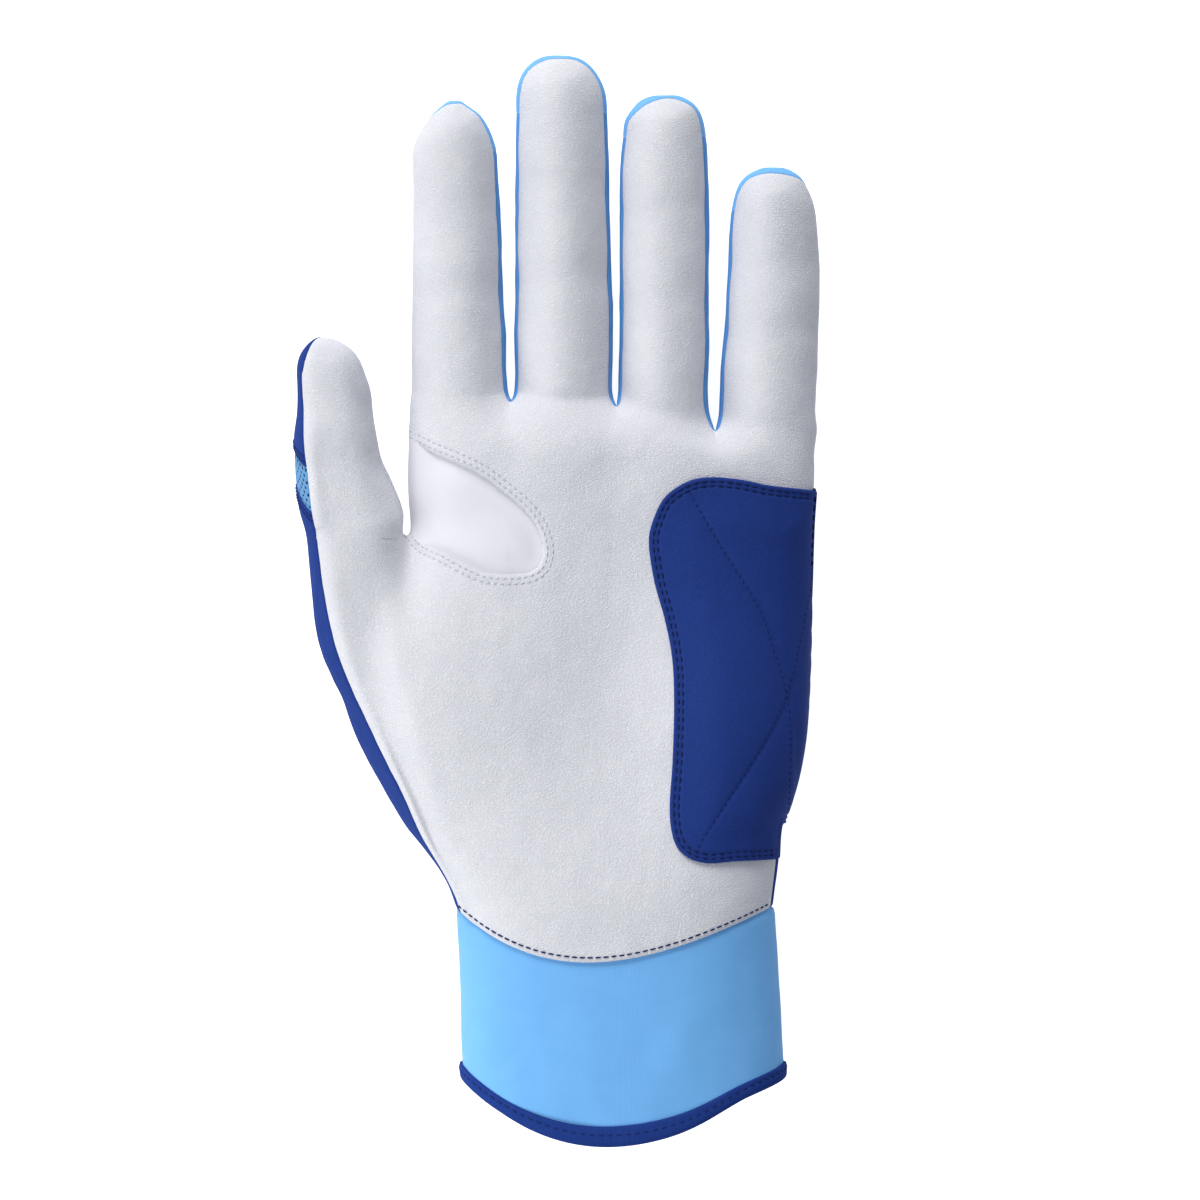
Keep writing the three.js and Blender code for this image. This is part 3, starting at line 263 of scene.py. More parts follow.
def lower_row(rise):
    """A ring of the net from the wrist, at 0, to the thumb's crotch, at 1."""
    y_side = THUMB_CROTCH * rise
    left, right = read_off(THUMB_EDGE, y_side), read_off(LITTLE_EDGE, y_side)
    seam_inset = read_off(STRIP_SEAM, y_side) - left
    share_at_crotch = (-PALM_SIDE - thumb_left) / (PALM_SIDE - thumb_left)
    share = THUMB_SHARE_AT_WRIST + (share_at_crotch - THUMB_SHARE_AT_WRIST) * rise
    split = left + (right - left) * share
    palm_share = float(np.interp(rise, *LOWER_PALM_FORM))
    thumb_share = float(np.interp(rise, *LOWER_THUMB_FORM))
    thumb_shares = [thumb_share, thumb_share, 0.6 * thumb_share + 0.4 * palm_share, palm_share]
    even_share = float(np.interp(rise, *LOWER_EVENNESS))

    def place(x, is_front, formed, formed_share):
        y = edge_height((2 * x - left - right) / (right - left), is_front)
        y += (THUMB_CROTCH - y) * rise
        z = surface_height(x, y, left, right, is_front)
        return [x, y, z + (formed - z) * formed_share]

    def thumb_columns(ring, is_front):
        x = [left + (split - left) * (p[0] - thumb_left) / (-PALM_SIDE - thumb_left) for p in ring]
        if is_front:
            x[0] = left + seam_inset + float(np.interp(rise, *STRIP_SHIFTS))
        even = np.linspace(x[0], split, 5)[:4]
        return [place(a + (b - a) * even_share, is_front, p[2], share)
                for a, b, p, share in zip(x, even, ring, thumb_shares)]

    def palm_columns(ring, is_front):
        places = []
        for p, x in zip(ring, spread_columns(ring, even_share)):
            formed = surface_height(p[0], THUMB_CROTCH, -PALM_SIDE, PALM_SIDE, is_front)
            x = split + (right - split) * (x + PALM_SIDE) / (2 * PALM_SIDE)
            places.append(place(x, is_front, formed, palm_share))
        return places

    front = thumb_columns(thumb_front_ring, True) + palm_columns(crotch_front, True)
    back = thumb_columns(thumb_back_ring, False) + palm_columns(crotch_back, False)
    return front + back[::-1]


def upper_row(rise):
    """A ring of the net from the thumb's crotch, at 0, to the fingers' crotches, at 1."""
    left = -PALM_SIDE - 0.6 * math.sin(rise * math.pi)
    even_share = float(np.interp(rise, *UPPER_EVENNESS))

    def place(p, x, is_front):
        y = THUMB_CROTCH + (p[1] - THUMB_CROTCH) * rise
        right = read_off(LITTLE_EDGE, y)
        x = left + (right - left) * (x + PALM_SIDE) / (2 * PALM_SIDE)
        z = surface_height(x, y, left, right, is_front)
        return [x, y, z + (p[2] - z) * float(np.interp(rise, *UPPER_FORM))]

    front = [place(p, x, True) for p, x in zip(crotch_front, spread_columns(crotch_front, even_share))]
    back = [place(p, x, False) for p, x in zip(crotch_back, spread_columns(crotch_back, even_share))]
    return front + back[::-1]


def add_digit(name, base_ring, first_row, panel_of):
    """Rings up a digit from the ring at its root, closed by a cap of three faces."""
    digit = DIGITS[name]
    slants = THUMB_SLANTS if name == "thumb" else [0] * len(digit["straight"])
    start, rings = digit["straight"][-1][0], []
    for i, station in enumerate(digit["straight"] + digit["round"]):
        past = max(station[0] - start, 0) / (digit["tip"] - start)
        slant = slants[i] if i < len(slants) else TIP_SLANTS[name] * past
        if name == "thumb":
            angles = [THUMB_SEAM_ANGLES[i]] + THUMB_ANGLES[1:]
        else:
            opening = TIP_OPENINGS[name] * past ** 2
            left_seam, right_seam = FRONT_SEAM_ANGLES[name]
            angles = [left_seam - opening, FINGER_ANGLES[1] - opening / 4,
                      FINGER_ANGLES[2] + opening / 4, right_seam + opening] + FINGER_ANGLES[4:]
        rings.append(digit_ring(digit, angles, *station, math.sqrt(1 - past ** 2), slant))
    lower = base_ring
    for span, points in enumerate(rings):
        upper = add_points(points)
        add_band(lower, upper, lambda k: panel_of(k, span), first_row + span)
        lower = upper
    for side in range(3):
        cap = [lower[side], lower[side + 1], lower[6 - side], lower[7 - side]]
        add_face(cap, panel_of(5, len(rings)), side, CAP_ROW)


def finger_panel(name, k, span):
    """The panel of a finger's face: columns 0 to 2 are its front, 3 its little-finger side, 4 to 6
    its back and 7 its thumb side, and the back wraps over the tip."""
    rounds = span - len(DIGITS[name]["straight"])
    if rounds >= 4 or (rounds >= 0 and k == 3 and (name != "little" or rounds > 0)):
        return name + "_back"
    if rounds >= 0 and k == 7 and name != "index":
        return name + "_back"
    if k < 3:
        return name + "_front"
    if 3 < k < 7:
        return name + "_back"
    if (name == "index" and k == 7) or (name == "little" and k == 3):
        return name + "_front"
    return name + ("_thumb_side_fourchette" if k == 7 else "_little_side_fourchette")


def thumb_panel(k, span):
    if k < 4:
        return "thumb_front"
    return "thumb_base_back" if span < 2 else "thumb_flex_mesh" if span < 4 else "thumb_tip_back"


HEEL_SIDE_RISE = 0.23
KNUCKLE_PANEL_ROW = 2


def lower_panel(k, rise):
    """Below the thumb's crotch the ring has 40 faces. The back comes round the side at the heel."""
    if k == 19 and rise < HEEL_SIDE_RISE:
        return "hand_back"
    return "palm_leather" if k < 20 else "hand_back" if k < 35 else "thumb_side_panel"


def upper_panel(k, row):
    """Above the thumb's crotch the ring has 32 faces."""
    if k < 16 or k == 31:
        return "palm_leather"
    return "hand_back" if row < KNUCKLE_PANEL_ROW else "knuckle_panel"


ring_below = add_points(lower_row(0))
for row, rise in enumerate(LOWER_RISES[1:]):
    ring_above = add_points(lower_row(rise))
    add_band(ring_below, ring_above, lambda k: lower_panel(k, rise), row)
    ring_below = ring_above
add_face([ring_below[3], ring_below[4], ring_below[35], ring_below[36]], "palm_leather", 3, CROTCH_ROW)
add_digit("thumb", ring_below[:4] + ring_below[36:], THUMB_ROW, thumb_panel)
ring_below = ring_below[4:36]
for row, rise in enumerate(UPPER_RISES + [1]):
    points = upper_row(rise) if rise < 1 else [list(p) for p in crotch_front + crotch_back[::-1]]
    ring_above = add_points(points)
    add_band(ring_below, ring_above, lambda k: upper_panel(k, row), UPPER_ROW + row)
    ring_below = ring_above
for i, name in enumerate(FINGERS):
    front, back = ring_below[4 * i:4 * i + 4], ring_below[28 - 4 * i:32 - 4 * i]
    add_digit(name, front + back, FINGER_ROW, lambda k, span: finger_panel(name, k, span))
    if i < 3:
        web = [front[3], ring_below[4 * i + 4], ring_below[27 - 4 * i], back[0]]
        add_face(web, name + "_" + FINGERS[i + 1] + "_web", 4 * i + 3, WEB_ROW)


def smoothing_matrix(count, faces):
    """Where each point of a net of four-sided faces comes to lie once it is rounded, as weights."""
    near, across, uses = [set() for _ in range(count)], [[] for _ in range(count)], {}
    for f in faces:
        for i, a in enumerate(f):
            b = f[(i + 1) % 4]
            near[a].add(b)
            near[b].add(a)
            across[a].append(f[(i + 2) % 4])
            uses[frozenset((a, b))] = uses.get(frozenset((a, b)), 0) + 1
    rim = [[] for _ in range(count)]
    for edge, used in uses.items():
        if used == 1:
            a, b = edge
            rim[a].append(b)
            rim[b].append(a)
    matrix = np.zeros((count, count))
    for i in range(count):
        if rim[i]:
            matrix[i, i] = 4 / 6
            for j in rim[i]:
                matrix[i, j] += 1 / 6
            continue
        n = len(near[i])
        matrix[i, i] = n / (n + 5)
        for j in near[i]:
            matrix[i, j] += 4 / (n * (n + 5))
        for j in across[i]:
            matrix[i, j] += 1 / (n * (n + 5))
    return matrix


# The net is fitted so that, once rounded, it passes through the points of its rings.
FIT_ROUNDS = 6
targets = np.array(net_points, float)
pull = smoothing_matrix(len(targets), net_faces)
net = targets.copy()
for _ in range(FIT_ROUNDS):
    net += targets - pull @ net



def add_object(name, data):
    item = bpy.data.objects.new(name, data)
    bpy.context.scene.collection.objects.link(item)
    return item


net_mesh = bpy.data.meshes.new("hand_net")
net_mesh.from_pydata(net.tolist(), [], net_faces)
tag = net_mesh.attributes.new("panel", "INT", "FACE")
tag.data.foreach_set("value", net_panels)
uv = net_mesh.uv_layers.new(name="places")
uv.data.foreach_set("uv", np.array(net_places, float).ravel())
net_object = add_object("hand_net", net_mesh)


def normals_of(points, faces):
    corners = points[faces]
    turned = np.cross(corners[:, 2] - corners[:, 0], corners[:, 3] - corners[:, 1])
    normals = np.zeros_like(points)
    for i in range(4):
        np.add.at(normals, faces[:, i], turned)
    return normals / np.maximum(np.linalg.norm(normals, axis=1, keepdims=True), 1e-9)


def round_net(levels):
    rounding = net_object.modifiers.new("rounding", "SUBSURF")
    rounding.levels = rounding.render_levels = levels
    rounding.uv_smooth = "NONE"
    shape = net_object.evaluated_get(bpy.context.evaluated_depsgraph_get())
    mesh = bpy.data.meshes.new_from_object(shape)
    net_object.modifiers.remove(rounding)
    points, faces = np.zeros(len(mesh.vertices) * 3), np.zeros(len(mesh.loops), int)
    panels, places = np.zeros(len(mesh.polygons), int), np.zeros(len(mesh.loops) * 2)
    mesh.vertices.foreach_get("co", points)
    mesh.loops.foreach_get("vertex_index", faces)
    mesh.attributes["panel"].data.foreach_get("value", panels)
    mesh.uv_layers["places"].data.foreach_get("uv", places)
    bpy.data.meshes.remove(mesh)
    points, faces = points.reshape(-1, 3), faces.reshape(-1, 4)
    return dict(points=points, faces=faces, panels=panels, places=places.reshape(-1, 4, 2),
                normals=normals_of(points, faces))


def evened(form, values, where, reach):
    """Values at a form's points, drawn towards those beside them over about the reach given."""
    a, b = form["faces"].ravel(), np.roll(form["faces"], -1, axis=1).ravel()
    a, b = np.concatenate([a, b]), np.concatenate([b, a])
    a, b = a[where[a]], b[where[a]]
    step = np.linalg.norm(form["points"][a] - form["points"][b], axis=1).mean()
    counts = np.maximum(np.bincount(a, minlength=len(where)), 1)[:, None]
    for _ in range(max(1, round(4 * (reach / step) ** 2))):
        near = np.stack([np.bincount(a, column[b], len(where)) for column in values.T], axis=1) / counts
        values = np.where(where[:, None], (values + near) / 2, values)
    return values


# The net ends in a flat cap at each tip, which is rounded off here.
CAP_SPAN = 7.5
CAP_REACH = 1.3
skin, lining = round_net(SKIN_LEVELS), round_net(LINING_LEVELS)
bpy.data.objects.remove(net_object)
for form in (skin, lining):
    for digit in DIGITS.values():
        height, left, right = digit["round"][-1]
        away = form["points"][:, :2] - [(left + right) / 2, height]
        nearness = 1 - smooth(np.linalg.norm(away, axis=1), CAP_SPAN / 3, CAP_SPAN)
        rounded = evened(form, form["points"], nearness > 0, CAP_REACH)
        form["points"] = form["points"] + (rounded - form["points"]) * nearness[:, None]
    form["normals"] = normals_of(form["points"], form["faces"])

# Where one leather or one fabric goes on over a root, the panels meet without a seam.
TIP_BACKS = {name: name + ("_tip_back" if name == "thumb" else "_back") for name in DIGITS}
TIP_STARTS = {frozenset((PANELS.index(name + "_front"), PANELS.index(TIP_BACKS[name]))):
              DIGITS[name]["straight"][-1][0] for name in DIGITS}
UNSEAMED = {frozenset(PANELS.index(p) for p in pair) for pair in
            [("palm_leather", name + "_front") for name in DIGITS]
            + [("thumb_side_panel", "thumb_base_back")]}
# Where light blue meets light blue the seam lies flat and hardly shows.
QUIET = {PANELS.index(p) for p in PANELS if p.split("_")[0] in FINGERS and not p.endswith("_front")}
SEAM_SINK = 0.15
QUIET_SINK = 0.06
SEAM_ROLL = 1.1


def seam_edges(form):
    """The edges between two panels, as (a, b) pairs: of the seams, the quiet seams and of none."""
    faces, panels = form["faces"], form["panels"]
    starts, ends = faces.ravel(), np.roll(faces, -1, axis=1).ravel()
    owner = np.repeat(np.arange(len(faces)), 4)
    low, high = np.minimum(starts, ends), np.maximum(starts, ends)
    order = np.lexsort((high, low))
    low, high, owner = low[order], high[order], owner[order]
    paired = np.zeros(len(low), bool)
    same = (low[1:] == low[:-1]) & (high[1:] == high[:-1])
    paired[1:] |= same
    paired[:-1] |= same
    sewn = [(low[i], high[i]) for i in np.nonzero(~paired)[0]]
    quiet, plain = [], []
    first = np.nonzero(same)[0]
    differ = first[panels[owner[first]] != panels[owner[first + 1]]]
    for i in differ:
        pair = frozenset((int(panels[owner[i]]), int(panels[owner[i + 1]])))
        if form["points"][low[i], 1] < TIP_STARTS.get(pair, np.inf):
            (plain if pair in UNSEAMED else quiet if pair <= QUIET else sewn).append((low[i], high[i]))
    return np.array(sewn), np.array(quiet), np.array(plain)


def tree_of(points):
    tree = KDTree(len(points))
    for i, p in enumerate(points):
        tree.insert(p, i)
    tree.balance()
    return tree


def distances(points, tree, reach):
    found = np.full(len(points), reach)
    for i, p in enumerate(points):
        d = tree.find(p)[2]
        if d is not None and d < reach:
            found[i] = d
    return found


def fine_line(points, edges, parts=3):
    a, b = points[edges[:, 0]], points[edges[:, 1]]
    return np.concatenate([a + (b - a) * k / parts for k in range(parts + 1)])


# Round a fingertip the seam leaves the net and runs where the surface has turned up this far from
# its side: the turn at the tip, the bearing where most of the back shows, and how far that spreads.
TIP_SEAMS = {"index": (0.50, 104, 3.0), "middle": (0.53, 104, 2.0), "ring": (0.59, 100, 2.0),
             "little": (0.66, 82, 1.6)}
TIP_BLEND = 3.5
TIP_REACH = 6.0
SEAM_CATCH = 1.5
TURN_SCALE = 8.0
TURN_LIMIT = 0.3
FINGER_TIP_EVENING = 1.6
THUMB_TIP_EVENING = 2.4


def part_digit(form, name):
    """A field above 0 on a digit's front, below 0 on the rest of it and 0 along its seam, with the
    points where the seam crosses the tip."""
    points, normals, faces, panels = form["points"], form["normals"], form["faces"], form["panels"]
    front, rest = np.zeros(len(points), bool), np.zeros(len(points), bool)
    front[faces[panels == PANELS.index(name + "_front")]] = True
    others = [i for i, p in enumerate(PANELS) if p.startswith(name + "_") and p != name + "_front"]
    rest[faces[np.isin(panels, others)]] = True
    field = np.where(front & rest, 0.0, np.where(front, 1.0, -1.0))
    start, left, right = DIGITS[name]["straight"][-1]
    by_seam = front & rest & (np.abs(points[:, 1] - start) < SEAM_CATCH)
    is_left = points[:, 0] < (left + right) / 2
    left_turn, right_turn = normals[by_seam & is_left, 2].mean(), normals[by_seam & ~is_left, 2].mean()
    tip = (front | rest) & (points[:, 1] > start)
    to_seam = distances(points[tip], tree_of(points[front & rest]), TIP_REACH) * field[tip]
    field[tip], past_blend, evening = to_seam, tip, THUMB_TIP_EVENING
    if name in TIP_SEAMS:
        turned, bearing, spread = TIP_SEAMS[name]
        level = normals[tip, :2]
        level = level / np.maximum(np.linalg.norm(level, axis=1, keepdims=True), 1e-6)
        side = left_turn + (right_turn - left_turn) * (level[:, 0] + 1) / 2
        toward = level @ [math.cos(math.radians(bearing)), math.sin(math.radians(bearing))]
        turn = normals[tip, 2] - side - (turned - side) * np.clip(toward, 0, 1) ** spread
        share = smooth(points[tip, 1], start, start + TIP_BLEND)
        field[tip] = (1 - share) * to_seam + share * TURN_SCALE * np.clip(turn, -TURN_LIMIT, TURN_LIMIT)
        past_blend, evening = tip & (points[:, 1] > start + TIP_BLEND / 2), FINGER_TIP_EVENING
    field = np.clip(evened(form, field[:, None], past_blend, evening)[:, 0], -1, 1)
    a, b = faces.ravel(), np.roll(faces, -1, axis=1).ravel()
    crosses = tip[a] & tip[b] & (field[a] * field[b] < 0)
    a, b = a[crosses], b[crosses]
    along = (field[a] / (field[a] - field[b]))[:, None]
    return field, points[a] + (points[b] - points[a]) * along


skin["parted"], lining["parted"], tip_lines = {}, {}, []
for name in DIGITS:
    skin["parted"][name], tip_line = part_digit(skin, name)
    lining["parted"][name] = part_digit(lining, name)[0]
    tip_lines.append(tip_line)
sewn_edges, quiet_edges, plain_edges = seam_edges(skin)
skin["plain"] = set(np.concatenate([quiet_edges.ravel(), plain_edges.ravel()]).tolist())
lining["plain"] = set(np.concatenate([edges.ravel() for edges in seam_edges(lining)[1:]]).tolist())
skin_sink = np.zeros(len(skin["points"]))
sewn_line = np.concatenate([fine_line(skin["points"], sewn_edges)] + tip_lines)
for line, depth in ((sewn_line, SEAM_SINK), (fine_line(skin["points"], quiet_edges), QUIET_SINK)):
    to_seam = distances(skin["points"], tree_of(line), SEAM_ROLL)
    skin_sink = np.maximum(skin_sink, depth * (1 - to_seam / SEAM_ROLL) ** 2)

FOLDS = ((0.36, 0.2), (0.63, 0.15))
FOLD_SLANT = 0.9
SLACK = 0.2
SLACK_SPAN = 17


def skin_relief(points, normals):
    """The leather's own relief: soft folds where the digits bend, and the slack of a worn skin."""
    x, y = points[:, 0], points[:, 1]
    front = smooth(normals[:, 2], 0.1, 0.6)
    relief = np.zeros(len(points))
    for name, digit in DIGITS.items():
        root, tip = sum(digit["crotches"]) / 2, digit["tip"]
        middle = sum(digit["straight"][3][1:]) / 2
        on_digit = smooth(15 - np.abs(x - middle), 0, 4) * smooth(y, root + 4, root + 12) * front
        for share, depth in FOLDS:
            bend = root + (tip - root) * share + FOLD_SLANT * np.sin((x - middle) * 0.3)
            relief -= on_digit * depth * np.exp(-((y - bend) / 3.4) ** 2)
            relief += on_digit * depth * np.exp(-((y - bend - 8) / 5.5) ** 2)
    slack = np.array([noise.fractal(Vector(p) / SLACK_SPAN, 0.6, 2.1, 3) for p in points])
    return relief + SLACK * slack


# The glove rests on its back: nothing goes below a hair over the floor.
REST_LEVEL = 0.04 - WRIST_LINE[2]
skin["bare"] = skin["points"]
skin_rise = skin_relief(skin["points"], skin["normals"]) - skin_sink
skin["points"] = skin["bare"] + skin["normals"] * skin_rise[:, None]
skin["points"][:, 2] = np.maximum(skin["points"][:, 2], REST_LEVEL)
skin["normals"] = normals_of(skin["points"], skin["faces"])
ON_CUT = 0.04


def cut_sheet(sheet, field):
    """Cuts a sheet along the line where its field is 0 and keeps the part where it is positive."""
    points, faces, uvs = sheet["points"], sheet["faces"], sheet["uvs"]
    field = np.where(np.abs(field) < ON_CUT, 0.0, field)
    new_points, source, kept_faces, kept_uvs, on_edge = [], [], [], [], {}

    def crossing(a, b):
        key = (a, b) if a < b else (b, a)
        if key not in on_edge:
            low, high = key
            share = field[low] / (field[low] - field[high])
            on_edge[key] = len(points) + len(new_points)
            new_points.append(points[low] + (points[high] - points[low]) * share)
            source.append((low, high, share))
        return on_edge[key]

    for face, uv in zip(faces, uvs):
        values = [field[i] for i in face]
        if min(values) >= 0:
            if max(values) > 0:
                kept_faces.append(face)
                kept_uvs.append(uv)
            continue
        if max(values) <= 0:
            continue
        ring, ring_uv = [], []
        for k, a in enumerate(face):
            after = (k + 1) % len(face)
            b = face[after]
            if field[a] >= 0:
                ring.append(a)
                ring_uv.append(uv[k])
            if field[a] * field[b] < 0:
                ring.append(crossing(a, b))
                share = field[a] / (field[a] - field[b])
                ring_uv.append(tuple(uv[k][j] + (uv[after][j] - uv[k][j]) * share for j in range(2)))
        if len(ring) >= 3:
            kept_faces.append(ring)
            kept_uvs.append(ring_uv)
    result = dict(sheet, faces=kept_faces, uvs=kept_uvs, field=field)
    if new_points:
        result["points"] = np.vstack([points, new_points])
        low, high, share = (np.array(column) for column in zip(*source))
        share = share[:, None]
        for key in ("normals", "bare"):
            between = sheet[key][low] * (1 - share) + sheet[key][high] * share
            result[key] = np.vstack([sheet[key], between])
        result["field"] = np.concatenate([field, np.zeros(len(new_points))])
    return result


def take_panel(form, names, bare=False):
    """A sheet from the faces of some panels, with or without the leather's own relief."""
    chosen = np.isin(form["panels"], [PANELS.index(name) for name in names])
    points = form["bare"] if bare and "bare" in form else form["points"]
    return dict(points=points, normals=form["normals"], bare=form.get("bare", form["points"]),
                faces=form["faces"][chosen].tolist(), uvs=form["places"][chosen].tolist(),
                plain=form["plain"])


def take_piece(form, node):
    """One panel. A digit's front and back are parted at the seam round its tip."""
    name, _, part = node.partition("_")
    if name not in DIGITS or node not in (name + "_front", TIP_BACKS[name]):
        return take_panel(form, [node])
    sheet = take_panel(form, [name + "_front", TIP_BACKS[name]])
    return cut_sheet(sheet, form["parted"][name] * (1 if part == "front" else -1))


def border_loops(faces):
    """The border of a sheet as closed loops of points, in the direction of its faces."""
    after = {}
    edges = {(a, b) for face in faces for a, b in zip(face, face[1:] + face[:1])}
    for a, b in edges:
        if (b, a) not in edges:
            after[a] = b
    loops = []
    while after:
        start, following = after.popitem()
        loop = [start]
        while following != start:
            loop.append(following)
            following = after.pop(following)
        loops.append(loop)
    return loops


def zip_loops(points, upper, lower):
    """Closes the rim between an upper loop and a lower loop that run the same way."""
    place = points[lower]
    start = int(np.argmin(np.linalg.norm(place - points[upper[0]], axis=1)))
    lower = lower[start:] + lower[:start] + [lower[start]]
    upper = upper + [upper[0]]
    rim, i, k = [], 0, 0
    while i < len(upper) - 1 or k < len(lower) - 1:
        ahead = below = np.inf
        if i < len(upper) - 1:
            ahead = np.linalg.norm(points[upper[i + 1]] - points[lower[k]])
        if k < len(lower) - 1:
            below = np.linalg.norm(points[upper[i]] - points[lower[k + 1]])
        if ahead <= below:
            rim.append([upper[i + 1], upper[i], lower[k]])
            i += 1
        else:
            rim.append([upper[i], lower[k], lower[k + 1]])
            k += 1
    return rim


def draw_in(points, normals, loops, distance, sink, plain=()):
    """Moves the points of a sheet's border into the sheet and down, but not where it goes on."""
    moved = points.copy()
    for loop in loops:
        ring = points[loop]
        along = np.roll(ring, -1, axis=0) - np.roll(ring, 1, axis=0)
        inward = np.cross(normals[loop], along)
        inward /= np.maximum(np.linalg.norm(inward, axis=1, keepdims=True), 1e-9)
        still = np.array([i in plain for i in loop])[:, None]
        moved[loop] = np.where(still, ring, ring + inward * distance - normals[loop] * sink)
    return moved


def woven_mesh(name, points, faces, uvs):
    """A mesh from points in metres. Its UV map holds the lengths along and across its weave."""
    mesh = bpy.data.meshes.new(name)
    mesh.from_pydata(points, [], faces)
    layer = mesh.uv_layers.new(name="weave")
    layer.data.foreach_set("uv", np.array([pair for uv in uvs for pair in uv], float).ravel())
    return mesh


def sewn_sheet(name, outer, inner, outer_points, inner_points, material, smooth_to=None):
    """One closed body from an outer and an inner sheet. Its corners' normals follow the glove
    where smooth_to gives them, so that no line shows where one leather is in two bodies."""
    used_outer = sorted({i for face in outer["faces"] for i in face})
    used_inner = sorted({i for face in inner["faces"] for i in face})
    outer_index = {old: new for new, old in enumerate(used_outer)}
    inner_index = {old: new + len(used_outer) for new, old in enumerate(used_inner)}
    points = np.vstack([outer_points[used_outer], inner_points[used_inner]])
    faces = [[outer_index[i] for i in face] for face in outer["faces"]]
    uvs = list(outer["uvs"])
    upper_loops = [[outer_index[i] for i in loop] for loop in border_loops(outer["faces"])]
    lower_loops = [[inner_index[i] for i in loop] for loop in border_loops(inner["faces"])]
    faces += [[inner_index[i] for i in face][::-1] for face in inner["faces"]]
    uvs += [uv[::-1] for uv in inner["uvs"]]
    for upper in upper_loops:
        centre = points[upper].mean(axis=0)
        lower = min(lower_loops,
                    key=lambda loop: np.linalg.norm(points[loop].mean(axis=0) - centre))
        lower_loops.remove(lower)
        rim = zip_loops(points, upper, lower)
        faces += rim
        uvs += [[(0.0, 0.0)] * 3] * len(rim)
    mesh = woven_mesh(name, ((points + WRIST_LINE) * MM).tolist(), faces, uvs)
    mesh.shade_smooth()
    if smooth_to is not None:
        normals = np.zeros((len(points), 3))
        for i in used_outer:
            if i in outer["plain"]:
                normals[outer_index[i]] = smooth_to[i]
        mesh.normals_split_custom_set_from_vertices(normals.tolist())
    mesh.materials.append(material)
    return add_object(name, mesh)


def area_of(sheet, points):
    total = 0.0
    for face in sheet["faces"]:
        p = points[face]
        fan = sum(np.cross(p[k] - p[0], p[k + 1] - p[0]) for k in range(1, len(face) - 1))
        total += np.linalg.norm(fan) / 2
    return total * MM * MM


def new_group(name, inputs, outputs):
    group = bpy.data.node_groups.new(name, "ShaderNodeTree")
    for label, kind, value in inputs:
        socket = group.interface.new_socket(label, in_out="INPUT", socket_type=kind)
        socket.default_value = value
    for label, kind in outputs:
        group.interface.new_socket(label, in_out="OUTPUT", socket_type=kind)
    return group, group.nodes.new("NodeGroupInput"), group.nodes.new("NodeGroupOutput")


def add_node(tree, kind, settings=None, values=None):
    node = tree.nodes.new(kind)
    for key, value in (settings or {}).items():
        setattr(node, key, value)
    for key, value in (values or {}).items():
        if hasattr(value, "is_output"):
            tree.links.new(value, node.inputs[key])
        else:
            node.inputs[key].default_value = value
    return node


def maths(tree, operation, *values):
    values = dict(enumerate(values))
    return add_node(tree, "ShaderNodeMath", {"operation": operation}, values).outputs[0]


def object_place(tree):
    return add_node(tree, "ShaderNodeTexCoord").outputs["Object"]


# The leathers share one grain: small domed pebbles, drawn out along the hand and crossed by fine
# wrinkles. The mottle is a soft change of tone over it.
grain, grain_in, grain_out = new_group(
    "leather_grain", [("Pebble size", "NodeSocketFloat", 0.0008)],
    [("Height", "NodeSocketFloat"), ("Mottle", "NodeSocketFloat")])
place = object_place(grain)
drawn_out = add_node(grain, "ShaderNodeMapping", None, {"Vector": place, "Scale": (0.62, 1.0, 1.0)})
sized = add_node(grain, "ShaderNodeVectorMath", {"operation": "SCALE"},
                 {0: drawn_out.outputs[0],
                  "Scale": maths(grain, "DIVIDE", 1.0, grain_in.outputs["Pebble size"])}).outputs[0]
drift = add_node(grain, "ShaderNodeTexNoise", None, {"Vector": sized, "Scale": 0.9, "Detail": 1.0})
drifted = add_node(grain, "ShaderNodeVectorMath", {"operation": "ADD"},
                   {0: sized, 1: drift.outputs["Color"]}).outputs[0]
pebbles = add_node(grain, "ShaderNodeTexVoronoi", {"feature": "DISTANCE_TO_EDGE"},
                   {"Vector": drifted, "Scale": 1.0})
domed = add_node(grain, "ShaderNodeMapRange", {"interpolation_type": "SMOOTHSTEP"},
                 {"Value": pebbles.outputs["Distance"], "From Max": 0.3}).outputs[0]
wrinkles = add_node(grain, "ShaderNodeTexNoise", None,
                    {"Vector": sized, "Scale": 1.3, "Detail": 2.0, "Distortion": 0.8})
ridges = maths(grain, "ABSOLUTE", maths(grain, "SUBTRACT", wrinkles.outputs["Fac"], 0.5))
ridges = maths(grain, "MULTIPLY", ridges, 2.6)
height = maths(grain, "ADD", maths(grain, "MULTIPLY", domed, 0.6), ridges)
grain.links.new(height, grain_out.inputs["Height"])
mottle = add_node(grain, "ShaderNodeTexNoise", None, {"Vector": place, "Scale": 90.0, "Detail": 4.0})
grain.links.new(mottle.outputs["Fac"], grain_out.inputs["Mottle"])


def new_material(name, rough, sockets=None):
    material = bpy.data.materials.new(name)
    material.use_nodes = True
    shader = material.node_tree.nodes["Principled BSDF"]
    shader.inputs["Roughness"].default_value = rough
    for key, value in (sockets or {}).items():
        shader.inputs[key].default_value = value
    return material, material.node_tree, shader


def place_group(tree, group, values):
    node = tree.nodes.new("ShaderNodeGroup")
    node.node_tree = group
    for key, value in values.items():
        node.inputs[key].default_value = value
    return node


def colour_between(tree, factor, low, high, dark, light):
    share = add_node(tree, "ShaderNodeMapRange", None,
                     {"Value": factor, "From Min": low, "From Max": high})
    mix = add_node(tree, "ShaderNodeMix", {"data_type": "RGBA"}, {"Factor": share.outputs[0]})
    mix.inputs["A"].default_value = (*dark, 1)
    mix.inputs["B"].default_value = (*light, 1)
    return mix.outputs["Result"]


